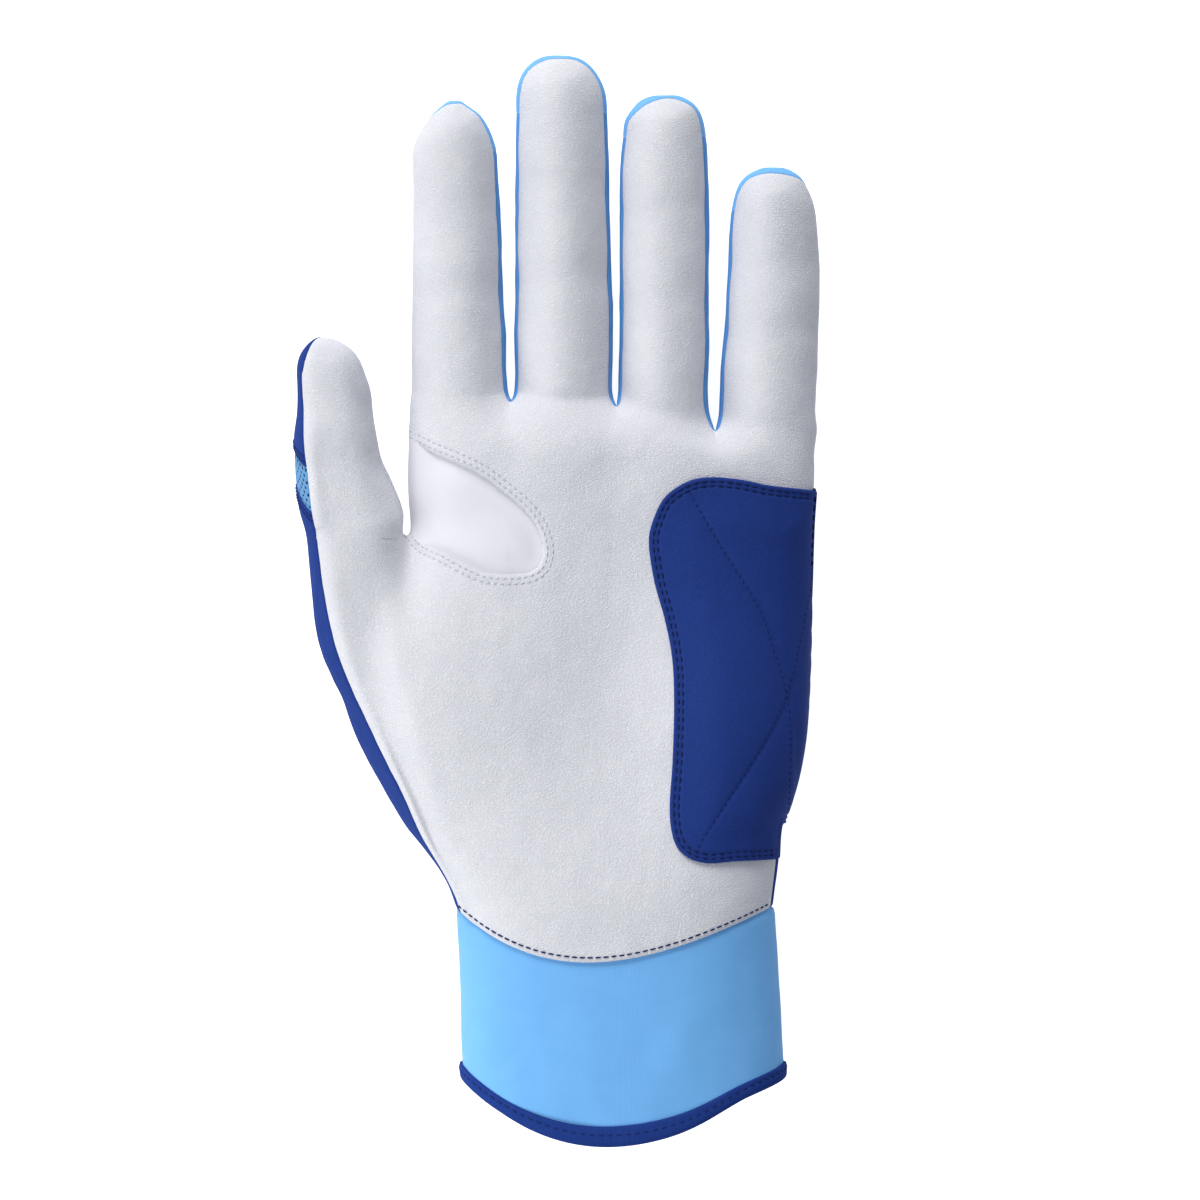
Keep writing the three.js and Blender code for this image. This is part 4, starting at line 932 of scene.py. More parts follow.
def raise_surface(tree, shader, height, strength, depth):
    raised = add_node(tree, "ShaderNodeBump", None,
                      {"Height": height, "Strength": strength, "Distance": depth})
    tree.links.new(raised.outputs["Normal"], shader.inputs["Normal"])


def leather(name, dark, light, rough, depth, pebble):
    """A leather between two colours, with grain of a depth and a pebble size in metres."""
    material, tree, shader = new_material(name, rough, {"Specular IOR Level": 0.12})
    node = place_group(tree, grain, {"Pebble size": pebble})
    # The colour follows the mottle and the grain's height, so the creases between the pebbles and in the wrinkles
    # are darker: painted shade.
    mottle_and_shade = maths(tree, "ADD", maths(tree, "MULTIPLY", node.outputs["Mottle"], 0.5),
                 maths(tree, "MULTIPLY", node.outputs["Height"], 0.5))
    tree.links.new(colour_between(tree, mottle_and_shade, 0.25, 0.8, dark, light), shader.inputs["Base Color"])
    roughness = maths(tree, "ADD", maths(tree, "MULTIPLY", node.outputs["Mottle"], 0.16), rough - 0.08)
    tree.links.new(roughness, shader.inputs["Roughness"])
    raise_surface(tree, shader, node.outputs["Height"], 0.6, depth)
    return material


white_leather = leather("white_leather", (0.74, 0.745, 0.79), (0.865, 0.87, 0.90), rough=0.7,
                        depth=0.00019, pebble=0.00055)

# The window for the gusset: a leaf that opens at the thumb's crotch and runs off the palm's edge.
# Its outline is given across and up in shares of its length.
GUSSET_LENGTH = 31.0
GUSSET_OUTLINE = [(-0.044, 0.745), (0.137, 0.648), (0.33, 0.565), (0.52, 0.475), (0.714, 0.332), (0.873, 0.19),
                  (0.963, 0.055), (1, -0.08), (0.976, -0.2), (0.89, -0.258), (0.73, -0.274), (0.563, -0.258),
                  (0.415, -0.194), (0.256, -0.11), (0.105, -0.035), (0.015, 0.065)]
RUN_OFF = 5.0


def smooth_line(corners, parts=8):
    """A curve through all its corners."""
    p = np.array(corners, float)
    p = np.vstack([2 * p[0] - p[1], p, 2 * p[-1] - p[-2]])
    line = []
    for i in range(1, len(p) - 2):
        for t in np.arange(parts) / parts:
            line.append(0.5 * (2 * p[i] + (p[i + 1] - p[i - 1]) * t
                               + (2 * p[i - 1] - 5 * p[i] + 4 * p[i + 1] - p[i + 2]) * t * t
                               + (3 * p[i] - p[i - 1] - 3 * p[i + 1] + p[i + 2]) * t ** 3))
    return np.array(line + [p[-2]])


def outline_distance(places, outline):
    """Distance from each place in plan to an outline, above 0 outside it and below 0 inside it."""
    a, b = outline, np.roll(outline, -1, axis=0)
    nearest, inside = np.full(len(places), np.inf), np.zeros(len(places), bool)
    for p, q in zip(a, b):
        step = q - p
        share = np.clip((places - p) @ step / max(step @ step, 1e-9), 0, 1)
        nearest = np.minimum(nearest, np.linalg.norm(places - p - share[:, None] * step, axis=1))
        crosses = (p[1] > places[:, 1]) != (q[1] > places[:, 1])
        if crosses.any():
            at = p[0] + (places[:, 1] - p[1]) / (q[1] - p[1] if q[1] != p[1] else 1e-9) * step[0]
            inside ^= crosses & (places[:, 0] < at)
    return np.where(inside, -nearest, nearest)


gusset_line = smooth_line([(-PALM_SIDE + across * GUSSET_LENGTH, THUMB_CROTCH + up * GUSSET_LENGTH)
                           for across, up in GUSSET_OUTLINE])
gusset_ring = np.vstack([[-PALM_SIDE - RUN_OFF, gusset_line[0, 1]], gusset_line,
                         [-PALM_SIDE - RUN_OFF, gusset_line[-1, 1]]])


FAR = 99.0
WINDOW_X = -10
WINDOW_Y = (70, 118)


def window_field(points, lap=0.0):
    """How far points lie outside the window, or outside its edge moved out by a lap."""
    field = np.full(len(points), FAR)
    near = (points[:, 0] < WINDOW_X) & (points[:, 1] > WINDOW_Y[0]) & (points[:, 1] < WINDOW_Y[1])
    field[near] = outline_distance(points[near, :2], gusset_ring) - lap
    return field


LEATHER_WALL = 1.0
GUSSET_ROWS = (1.1, 2.4)
LINING_INSET = 0.25
EDGE_TURN = 1.1
EDGE_SINK = 0.5
ROW_SINK = 0.13
ROW_WIDTH = 0.3
palm_outer = take_panel(skin, ["palm_leather"])
palm_outer = cut_sheet(palm_outer, window_field(palm_outer["bare"]))
palm_inner = take_panel(lining, ["palm_leather"])
palm_inner = cut_sheet(palm_inner, window_field(palm_inner["points"]))
from_window = np.clip(palm_outer["field"], 0, FAR)
sink = EDGE_SINK * np.clip(1 - from_window / EDGE_TURN, 0, 1) ** 2
for row in GUSSET_ROWS:
    sink += ROW_SINK * np.exp(-((from_window - row) / ROW_WIDTH) ** 2)
palm_surface = palm_outer["points"] - palm_outer["normals"] * sink[:, None]
palm_loops, palm_lining_loops = border_loops(palm_outer["faces"]), border_loops(palm_inner["faces"])
palm_surface = draw_in(palm_surface, palm_outer["normals"], palm_loops, 0.1, 0.1, skin["plain"])
palm_below = palm_inner["points"] - palm_inner["normals"] * LEATHER_WALL
palm_below = draw_in(palm_below, palm_inner["normals"], palm_lining_loops, LINING_INSET, 0,
                     lining["plain"])


def weave_scale(sheet, points):
    """Turns a sheet's places on the net into lengths in metres along and across it."""
    spans = ([], [])
    for face, uv in zip(sheet["faces"][::7], sheet["uvs"][::7]):
        for k in range(len(face)):
            after = (k + 1) % len(face)
            du, dv = abs(uv[after][0] - uv[k][0]), abs(uv[after][1] - uv[k][1])
            if max(du, dv) < 1 and min(du, dv) < 1e-6 < max(du, dv):
                length = np.linalg.norm(points[face[after]] - points[face[k]])
                spans[int(dv > du)].append(length / max(du, dv))
    across, along = (float(np.mean(s)) * MM if s else MM for s in spans)
    sheet["uvs"] = [[(u * across, v * along) for u, v in uv] for uv in sheet["uvs"]]


LEAST_CUT = 0.01
PATTERN_SHARE = 0.8
LEAST_SHARE = 0.301
CURVE_ALLOWANCE = 1.04
SEAM_ALLOWANCE = 0.004


def declare(node, area, length):
    """Hides a piece's part from model.glb. It works out the sheet the piece is cut from, with its pattern filling
    four fifths of the rectangle, but keeps none of these sizes.
    """
    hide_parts(node)
    length = max(length, LEAST_CUT)
    width = max(area / (PATTERN_SHARE * length), LEAST_CUT)
    area = max(area, LEAST_SHARE * width * length)


def length_of(sheet, points):
    """The length that a sheet is cut to, from its length along the hand."""
    used = sorted({i for face in sheet["faces"] for i in face})
    return float(np.ptp(points[used, 1])) * MM * CURVE_ALLOWANCE + SEAM_ALLOWANCE


weave_scale(palm_outer, palm_surface)
palm = sewn_sheet("palm_leather_sewn", palm_outer, palm_inner, palm_surface, palm_below, white_leather,
                  skin["normals"])
declare("palm_leather", area_of(palm_outer, palm_surface),
        length_of(palm_outer, palm_surface))
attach(palm, "hand")


# Crotch gusset. The real piece is a leaf of smooth, thin white leather set in behind the palm, so
# that the thumb can open. It shows through the palm's window, which is topstitched with two rows.
gusset_leather, gusset_tree, gusset_shader = new_material("smooth_white_leather", 0.7,
                                                          {"Specular IOR Level": 0.12})
smooth_mottle = place_group(gusset_tree, grain, {"Pebble size": 0.001})
gusset_colour = colour_between(gusset_tree, smooth_mottle.outputs["Mottle"], 0.3, 0.8,
                               (0.80, 0.80, 0.85), (0.84, 0.84, 0.88))
gusset_tree.links.new(gusset_colour, gusset_shader.inputs["Base Color"])
raise_surface(gusset_tree, gusset_shader, smooth_mottle.outputs["Height"], 0.3, 0.00003)
GUSSET_LAP = 3.5
GUSSET_WALL = 0.9
GUSSET_DEPTH = 1.25
GUSSET_PUFF = 0.55
GUSSET_FLUSH = (41.5, 47.0)
gusset_outer = take_panel(skin, ["palm_leather"], bare=True)
gusset_outer = cut_sheet(gusset_outer, -window_field(gusset_outer["points"], GUSSET_LAP))
gusset_inner = take_panel(lining, ["palm_leather"])
gusset_inner = cut_sheet(gusset_inner, -window_field(gusset_inner["points"], GUSSET_LAP))
puff = GUSSET_PUFF * smooth(-window_field(gusset_outer["points"]), 1.0, 6.0)
puff += (GUSSET_DEPTH - 0.1 - puff) * smooth(-gusset_outer["points"][:, 0], *GUSSET_FLUSH)
gusset_surface = gusset_outer["points"] + gusset_outer["normals"] * (puff - GUSSET_DEPTH)[:, None]
gusset_below = gusset_inner["points"] - gusset_inner["normals"] * (GUSSET_DEPTH + GUSSET_WALL)
gusset_loops = border_loops(gusset_outer["faces"])
gusset_surface = draw_in(gusset_surface, gusset_outer["normals"], gusset_loops, 0.2, 0)
gusset_loops = border_loops(gusset_inner["faces"])
gusset_below = draw_in(gusset_below, gusset_inner["normals"], gusset_loops, LINING_INSET, 0)
weave_scale(gusset_outer, gusset_surface)
gusset_outer["plain"] = set()
gusset = sewn_sheet("crotch_gusset_sewn", gusset_outer, gusset_inner, gusset_surface, gusset_below,
                    gusset_leather)
declare("crotch_gusset", area_of(gusset_outer, gusset_surface),
        length_of(gusset_outer, gusset_surface))
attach(gusset, "hand")


# Stitches. Every row is a lockstitch in bonded polyester thread: short, plump stitches that sink a
# little into the leather. One tree lays them along any line that carries the surface's normal.
def new_shaping_tree(name, inputs):
    """A tree of Geometry Nodes with named inputs, as (tree, its input node, its output node)."""
    tree = bpy.data.node_groups.new(name, "GeometryNodeTree")
    tree.is_modifier = True
    tree.interface.new_socket("Geometry", in_out="INPUT", socket_type="NodeSocketGeometry")
    for label, kind, value in inputs:
        socket = tree.interface.new_socket(label, in_out="INPUT", socket_type=kind)
        if value is not None:
            socket.default_value = value
    tree.interface.new_socket("Geometry", in_out="OUTPUT", socket_type="NodeSocketGeometry")
    return tree, tree.nodes.new("NodeGroupInput"), tree.nodes.new("NodeGroupOutput")


def end_tree(tree, geometry, material, tree_out):
    """Ends a tree in Realize Instances and Set Material."""
    real = add_node(tree, "GeometryNodeRealizeInstances", None, {"Geometry": geometry})
    coated = add_node(tree, "GeometryNodeSetMaterial", None,
                      {"Geometry": real.outputs["Geometry"], "Material": material})
    tree.links.new(coated.outputs["Geometry"], tree_out.inputs["Geometry"])


stitch_tree, row_in, row_out = new_shaping_tree("stitch_row", (
    ("Pitch", "NodeSocketFloat", 0.002), ("Length", "NodeSocketFloat", 0.0016),
    ("Width", "NodeSocketFloat", 0.0006), ("Lift", "NodeSocketFloat", 0.0001),
    ("Seed", "NodeSocketInt", 0), ("Thread", "NodeSocketMaterial", None)))
as_curve = add_node(stitch_tree, "GeometryNodeMeshToCurve", None, {"Mesh": row_in.outputs["Geometry"]})
spaced = add_node(stitch_tree, "GeometryNodeResampleCurve", {"mode": "LENGTH"},
                  {"Curve": as_curve.outputs["Curve"], "Length": row_in.outputs["Pitch"]})
up = add_node(stitch_tree, "GeometryNodeInputNamedAttribute", {"data_type": "FLOAT_VECTOR"},
              {"Name": "up"})
raised = add_node(stitch_tree, "ShaderNodeVectorMath", {"operation": "SCALE"},
                  {0: up.outputs["Attribute"], "Scale": row_in.outputs["Lift"]})
lifted = add_node(stitch_tree, "GeometryNodeSetPosition", None,
                  {"Geometry": spaced.outputs["Curve"], "Offset": raised.outputs[0]})
bead = add_node(stitch_tree, "GeometryNodeMeshUVSphere", None,
                {"Segments": 8, "Rings": 5, "Radius": 0.5})
tangent = stitch_tree.nodes.new("GeometryNodeInputTangent").outputs[0]
turn = add_node(stitch_tree, "FunctionNodeAxesToRotation",
                {"primary_axis": "X", "secondary_axis": "Z"},
                {"Primary Axis": tangent, "Secondary Axis": up.outputs["Attribute"]})
uneven = add_node(stitch_tree, "FunctionNodeRandomValue", {"data_type": "FLOAT"},
                  {"Min": 0.93, "Max": 1.05, "Seed": row_in.outputs["Seed"]})
long = maths(stitch_tree, "MULTIPLY", row_in.outputs["Length"], uneven.outputs["Value"])
size = add_node(stitch_tree, "ShaderNodeCombineXYZ", None,
                {"X": long, "Y": row_in.outputs["Width"], "Z": row_in.outputs["Width"]})
laid = add_node(stitch_tree, "GeometryNodeInstanceOnPoints", None,
                {"Points": lifted.outputs["Geometry"], "Instance": bead.outputs["Mesh"],
                 "Rotation": turn.outputs["Rotation"], "Scale": size.outputs["Vector"]})
end_tree(stitch_tree, laid.outputs["Instances"], row_in.outputs["Thread"], row_out)


def keep_shape(piece, modifier):
    """Makes what a modifier gives a piece its plain mesh."""
    shape = piece.evaluated_get(bpy.context.evaluated_depsgraph_get())
    result = bpy.data.meshes.new_from_object(shape)
    piece.modifiers.remove(modifier)
    piece.data = result


def grown(name, mesh, tree, values):
    """A plain piece from a mesh and a tree of Geometry Nodes with its named inputs."""
    source = add_object(name, mesh)
    modifier = source.modifiers.new("growth", "NODES")
    modifier.node_group = tree
    sockets = {item.name: item.identifier for item in tree.interface.items_tree
               if item.in_out == "INPUT"}
    for key, value in values.items():
        modifier[sockets[key]] = value
    keep_shape(source, modifier)
    source.data.name = name
    source.data.shade_smooth()
    return source


def stitch_rows(name, rows, thread, pitch, length, width, lift, seed=1):
    """A piece of stitches. Its rows are lines of places and normals, and all is in millimetres."""
    points, ups, edges = [], [], []
    for places, normals in rows:
        edges += [(len(points) + k, len(points) + k + 1) for k in range(len(places) - 1)]
        points += ((np.asarray(places) + WRIST_LINE) * MM).tolist()
        ups += np.asarray(normals).tolist()
    mesh = bpy.data.meshes.new(name)
    mesh.from_pydata(points, edges, [])
    attribute = mesh.attributes.new("up", "FLOAT_VECTOR", "POINT")
    attribute.data.foreach_set("vector", np.array(ups, float).ravel())
    piece = grown(name, mesh, stitch_tree,
                  {"Pitch": pitch * MM, "Length": length * MM, "Width": width * MM,
                   "Lift": lift * MM, "Seed": seed, "Thread": thread})
    return piece


def thread_material(name, colour):
    material, tree, shader = new_material(name, 0.8, {"Specular IOR Level": 0.1})
    twist = add_node(tree, "ShaderNodeTexNoise", None,
                     {"Vector": object_place(tree), "Scale": 3500.0})
    # The twist's grooves, where the bump dips, are a fifth darker: painted shade.
    dark = tuple(c * 0.8 for c in colour)
    tree.links.new(colour_between(tree, twist.outputs["Fac"], 0.3, 0.7, dark, colour),
                   shader.inputs["Base Color"])
    raise_surface(tree, shader, twist.outputs["Fac"], 0.5, 0.00005)
    return material


def surface_tree(sheet_points, faces):
    return BVHTree.FromPolygons([Vector(p) for p in sheet_points], [tuple(f) for f in faces])


def lay_from(tree, starts, direction):
    """Drops a line on to a surface along a direction and returns its places and normals."""
    places, normals = [], []
    for start in starts:
        place, normal, _, _ = tree.ray_cast(Vector(start), Vector(direction))
        if place is not None:
            places.append(tuple(place))
            normals.append(tuple(normal if normal.dot(Vector(direction)) < 0 else -normal))
    return places, normals


def beside(line, distance):
    """A line in plan at a distance to the left of another."""
    along = np.gradient(line, axis=0)
    along /= np.linalg.norm(along, axis=1, keepdims=True)
    return line + np.stack([-along[:, 1], along[:, 0]], axis=1) * distance


ABOVE = 80.0
DOWN = (0, 0, -1)
EDGE_ROW_RISE = 1.25
EDGE_ROW_ENDS = (-WRIST_HALF + 0.4, WRIST_HALF - 1.6)
white_thread = thread_material("white_thread", (0.67, 0.68, 0.73))
palm_tree = surface_tree(palm_surface, palm_outer["faces"])
gusset_rows = [lay_from(palm_tree, [(x, y, ABOVE) for x, y in beside(gusset_line, distance)], DOWN)
               for distance in GUSSET_ROWS]
edge_row = [(x, edge_height(x / WRIST_HALF, True) + EDGE_ROW_RISE, ABOVE)
            for x in np.linspace(*EDGE_ROW_ENDS, 90)]
navy_thread = thread_material("navy_thread", (0.012, 0.028, 0.13))
edge_stitches = stitch_rows("palm_edge_stitches", [lay_from(palm_tree, edge_row, DOWN)], navy_thread,
                            pitch=1.8, length=1.5, width=0.42, lift=0.08)
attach(edge_stitches, "hand")
gusset_stitches = stitch_rows("crotch_gusset_stitches", gusset_rows, white_thread,
                              pitch=1.6, length=1.15, width=0.42, lift=0.0)
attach(gusset_stitches, "hand")


# Heel pad. The real piece is a royal blue synthetic leather overlay on thin foam, sewn to the palm
# with two rows of stitches round its edge and quilted with two long rows that cross.
royal_leather = leather("royal_leather", (0.012, 0.036, 0.20), (0.016, 0.046, 0.245), rough=0.75,
                        depth=0.00003, pebble=0.0006)
PAD_WIDTH = 39.6
PAD_LENGTH = 89.3
PAD_TOP = 100.0
PAD_SIDE_REACH = 1.5
PAD_WALL = 1.0
PAD_EDGE = 1.15
PAD_SWELL = 1.1
PAD_ROWS = (1.1, 2.1)
PAD_EDGE_START = 0.3
PAD_ROW_SINK = 0.3
PAD_REACH = 30.0
LEAST_RISE = 0.08
# The pad's outline in shares of its width and length, and its two long quilted rows.
PAD_OUTLINE = [(0.06, 0.031), (0.29, 0.021), (0.45, 0.007), (0.63, 0), (0.77, 0.011), (0.9, 0.049), (0.968, 0.104),
               (1, 0.168), (0.968, 0.269), (0.905, 0.372), (0.862, 0.475), (0.852, 0.59), (0.862, 0.734),
               (0.88, 0.863), (0.857, 0.94), (0.787, 0.982), (0.665, 1), (0.486, 0.996), (0.28, 0.995)]
QUILT_LINES = [[(17.6, 96.1), (25.4, 82.7), (33.4, 69.8), (36.9, 60.2), (40.0, 50.1), (41.1, 40.0), (40.7, 22.8)],
               [(46.1, 73.8), (42.8, 58.8), (40.0, 49.4), (35.5, 40.0), (29.1, 29.8), (21.2, 17.6), (19.5, 14.8)]]
pad_line = smooth_line([(PALM_SIDE - across * PAD_WIDTH, PAD_TOP - down * PAD_LENGTH)
                        for across, down in PAD_OUTLINE])
pad_ring = np.vstack([[PALM_SIDE + RUN_OFF, pad_line[0, 1]], pad_line,
                      [PALM_SIDE + RUN_OFF, pad_line[-1, 1]]])
quilt_lines = [smooth_line(corners) for corners in QUILT_LINES]


def pad_field(points):
    """How far points lie inside the pad's edge, which ends level round the palm's side."""
    field = np.full(len(points), -FAR)
    near = (points[:, 0] > 0) & (points[:, 1] < PAD_TOP + RUN_OFF)
    in_plan = -outline_distance(points[near, :2], pad_ring)
    field[near] = np.minimum(in_plan, points[near, 2] - PAD_SIDE_REACH)
    return field


def line_distance(places, line):
    nearest = np.full(len(places), np.inf)
    for p, q in zip(line[:-1], line[1:]):
        step = q - p
        share = np.clip((places - p) @ step / max(step @ step, 1e-9), 0, 1)
        nearest = np.minimum(nearest, np.linalg.norm(places - p - share[:, None] * step, axis=1))
    return nearest


def pad_height(places, inside):
    """How high the pad's face stands over the leather at a distance inside its edge."""
    swell = smooth(inside, 2.0, 12.0)
    edge = np.sqrt(1 - (1 - np.clip(inside / 0.6, 0, 1)) ** 2)
    height = PAD_EDGE_START + (PAD_EDGE - PAD_EDGE_START) * edge + PAD_SWELL * swell
    for row in PAD_ROWS:
        height -= PAD_ROW_SINK * np.exp(-((inside - row) / ROW_WIDTH) ** 2)
    for line in quilt_lines:
        off = line_distance(places[:, :2], line)
        height -= swell * (0.2 * np.exp(-(off / 0.5) ** 2) + 0.22 * np.exp(-(off / 2.5) ** 2))
    return height


pad_outer = take_panel(skin, ["palm_leather"], bare=True)
pad_outer = cut_sheet(pad_outer, pad_field(pad_outer["points"]))
pad_inner = take_panel(lining, ["palm_leather"])
pad_inner = cut_sheet(pad_inner, pad_field(pad_inner["points"]))
pad_loops = border_loops(pad_outer["faces"])
pad_edge_tree = tree_of(np.concatenate([pad_outer["points"][loop] for loop in pad_loops]))


def inside_edge(sheet):
    """How far the points of one of the pad's sheets lie inside the pad's edge."""
    used = sorted({i for face in sheet["faces"] for i in face})
    inside = np.zeros(len(sheet["points"]))
    inside[used] = distances(sheet["points"][used], pad_edge_tree, PAD_REACH)
    return inside


pad_rise = pad_height(pad_outer["points"], inside_edge(pad_outer))
pad_surface = pad_outer["points"] + pad_outer["normals"] * pad_rise[:, None]
inner_inside = inside_edge(pad_inner)
inner_rise = np.maximum(pad_height(pad_inner["points"], inner_inside) - PAD_WALL, LEAST_RISE)
pad_below = pad_inner["points"] + pad_inner["normals"] * inner_rise[:, None]
pad_below = draw_in(pad_below, pad_inner["normals"], border_loops(pad_inner["faces"]), 0.1, 0)
weave_scale(pad_outer, pad_surface)
pad_outer["plain"] = set()
pad = sewn_sheet("heel_pad_sewn", pad_outer, pad_inner, pad_surface, pad_below, royal_leather)
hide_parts("heel_pad")
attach(pad, "hand")

royal_thread = thread_material("royal_thread", (0.012, 0.030, 0.16))
pad_tree = surface_tree(pad_surface, pad_outer["faces"])
pad_rows = []
for distance in PAD_ROWS:
    line = [(x, y, ABOVE) for x, y in beside(pad_line, distance) if x < PALM_SIDE - 2]
    pad_rows.append(lay_from(pad_tree, line, DOWN))
    side = [(PALM_SIDE + 30, y, PAD_SIDE_REACH + distance) for y in np.linspace(80, 97, 30)]
    pad_rows.append(lay_from(pad_tree, side, (-1, 0, 0)))
quilt_rows = [lay_from(pad_tree, [(x, y, ABOVE) for x, y in line], DOWN) for line in quilt_lines]
pad_thread = thread_material("pad_thread", (0.007, 0.017, 0.09))
pad_stitches = stitch_rows("heel_pad_stitches", pad_rows, pad_thread,
                           pitch=2.0, length=1.5, width=0.5, lift=0.0)
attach(pad_stitches, "hand")
quilt_thread = thread_material("quilt_thread", (0.010, 0.026, 0.135))
pad_quilting = stitch_rows("heel_pad_quilting", quilt_rows, quilt_thread,
                           pitch=1.6, length=0.9, width=0.38, lift=0.0)
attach(pad_quilting, "hand")


# Heel pad foam. The real piece is a thin leaf of soft polyether foam, cut smaller than the pad. It
# lies loose under the pad, inside its seam.
foam, foam_tree, foam_shader = new_material("grey_foam", 0.95)
cells = add_node(foam_tree, "ShaderNodeTexVoronoi", None,
                 {"Vector": object_place(foam_tree), "Scale": 1600.0})
# Each cell is darker at its middle, where the bump dips: painted shade in the foam's pores.
foam_colour = colour_between(foam_tree, cells.outputs["Distance"], 0.0, 0.7, (0.36, 0.38, 0.42),
                             (0.55, 0.57, 0.62))
foam_tree.links.new(foam_colour, foam_shader.inputs["Base Color"])
raise_surface(foam_tree, foam_shader, cells.outputs["Distance"], 0.7, 0.0003)
FOAM_GAP = 0.06
PAD_FOAM_INSET = 5.2
foam_leaf = cut_sheet(pad_inner, np.where(inner_inside > 0, inner_inside - PAD_FOAM_INSET, -FAR))
leaf_inside = np.maximum(foam_leaf["field"] + PAD_FOAM_INSET, PAD_FOAM_INSET)
foam_top = np.maximum(pad_height(foam_leaf["points"], leaf_inside) - PAD_WALL - FOAM_GAP, 0.3)
foam_upper = foam_leaf["points"] + foam_leaf["normals"] * foam_top[:, None]
foam_lower = foam_leaf["points"] + foam_leaf["normals"] * FOAM_GAP
foam_leaf["plain"] = set()
foam_piece = sewn_sheet("heel_pad_foam_sewn", foam_leaf, foam_leaf, foam_upper, foam_lower, foam)
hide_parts("heel_pad_foam")
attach(foam_piece, "hand")


# Digit fronts. The palm's white leather goes on over the roots of the digits to the fingertips.
# Each front is drawn round the digit's sides and sewn inside out to its back and its fourchettes.

# A digit bends where it leaves the palm. Each line is its body, where its bend starts, in metres,
# and the bend's direction.
BENDS = {
    "index": ("index_finger", (-0.02296, 0.0452, 0.0165), (0, 1, 0)),
    "middle": ("middle_finger", (0.00154, 0.0442, 0.0165), (0.044, 1, 0)),
    "ring": ("ring_finger", (0.02504, 0.0412, 0.0165), (0.28, 1, 0)),
    "little": ("little_finger", (0.04944, 0.0386, 0.0165), (0, 1, 0)),
    "thumb": ("thumb", (-0.04502, 0.0132, 0.0205), (0, 1, 0)),
}


def follow(piece):
    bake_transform(piece)


def move_with(piece, follows):
    """Bakes a digit's piece in place, or makes a piece ride on a body such as the hand."""
    if follows in BENDS:
        follow(piece)
    else:
        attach(piece, follows)


def sew_panel(node, wall, material, follows):
    """A panel of the form as a closed piece with a wall in millimetres."""
    outer, inner = take_piece(skin, node), take_piece(lining, node)
    outer_loops, inner_loops = border_loops(outer["faces"]), border_loops(inner["faces"])
    surface = draw_in(outer["points"], outer["normals"], outer_loops, 0.06, 0.06, skin["plain"])
    below = inner["points"] - inner["normals"] * wall
    below = draw_in(below, inner["normals"], inner_loops, LINING_INSET, 0, lining["plain"])
    weave_scale(outer, surface)
    piece = sewn_sheet(node + "_sewn", outer, inner, surface, below, material, skin["normals"])
    area = sum(face.area for face in piece.data.polygons) / 2
    declare(node, area, length_of(outer, surface))
    move_with(piece, follows)


for name in ["thumb"] + FINGERS:
    sew_panel(name + "_front", LEATHER_WALL, white_leather, name)


# Finger backs, fourchettes and webs. The real pieces are light blue four-way stretch fabric: a
# back for each finger that wraps over its tip, strips between the fingers, and a small web at
# each crotch. All are sewn in with turned seams.

# The fabrics share one knit: ribs of slanting loops, counted along and across the piece's own
# lengths. The mottle is a soft change of tone over it.
knit, knit_in, knit_out = new_group("knit", [("Pitch", "NodeSocketFloat", 0.0005)],
                                    [("Height", "NodeSocketFloat"), ("Mottle", "NodeSocketFloat")])
woven = add_node(knit, "ShaderNodeUVMap", {"uv_map": "weave"}).outputs["UV"]
counted = add_node(knit, "ShaderNodeVectorMath", {"operation": "SCALE"},
                   {0: woven, "Scale": maths(knit, "DIVIDE", 1.0, knit_in.outputs["Pitch"])}).outputs[0]
split = add_node(knit, "ShaderNodeSeparateXYZ", None, {"Vector": counted})
wale = maths(knit, "PINGPONG", split.outputs["X"], 0.5)
course = maths(knit, "ADD", split.outputs["Y"], maths(knit, "MULTIPLY", wale, 0.9))
loops = maths(knit, "PINGPONG", course, 0.5)
knit.links.new(maths(knit, "ADD", wale, loops), knit_out.inputs["Height"])
fibre = add_node(knit, "ShaderNodeTexNoise", None,
                 {"Vector": object_place(knit), "Scale": 240.0, "Detail": 5.0})
knit.links.new(fibre.outputs["Fac"], knit_out.inputs["Mottle"])


def fabric(name, dark, light, pitch, depth, rough=0.8, sheen=0.12, gloss=0.2):
    """A knitted fabric between two colours, with loops of a pitch and a depth in metres."""
    material, tree, shader = new_material(
        name, rough, {"Sheen Weight": sheen, "Sheen Roughness": 0.5, "Specular IOR Level": gloss})
    node = place_group(tree, knit, {"Pitch": pitch})
    # The colour follows the mottle and the knit's height, so the hollows between the loops are darker: painted
    # shade.
    mottle_and_shade = maths(tree, "ADD", maths(tree, "MULTIPLY", node.outputs["Mottle"], 0.7),
                 maths(tree, "MULTIPLY", node.outputs["Height"], 0.35))
    tree.links.new(colour_between(tree, mottle_and_shade, 0.3, 0.8, dark, light), shader.inputs["Base Color"])
    raise_surface(tree, shader, node.outputs["Height"], 0.5, depth)
    return material


FABRIC_WALL = 0.9
WEB_WALL = 2.2 * FABRIC_WALL
light_blue_fabric = fabric("light_blue_fabric", (0.175, 0.485, 0.92), (0.195, 0.52, 0.96),
                           pitch=0.00045, depth=0.00004)
for name in FINGERS:
    sew_panel(name + "_back", FABRIC_WALL, light_blue_fabric, name)
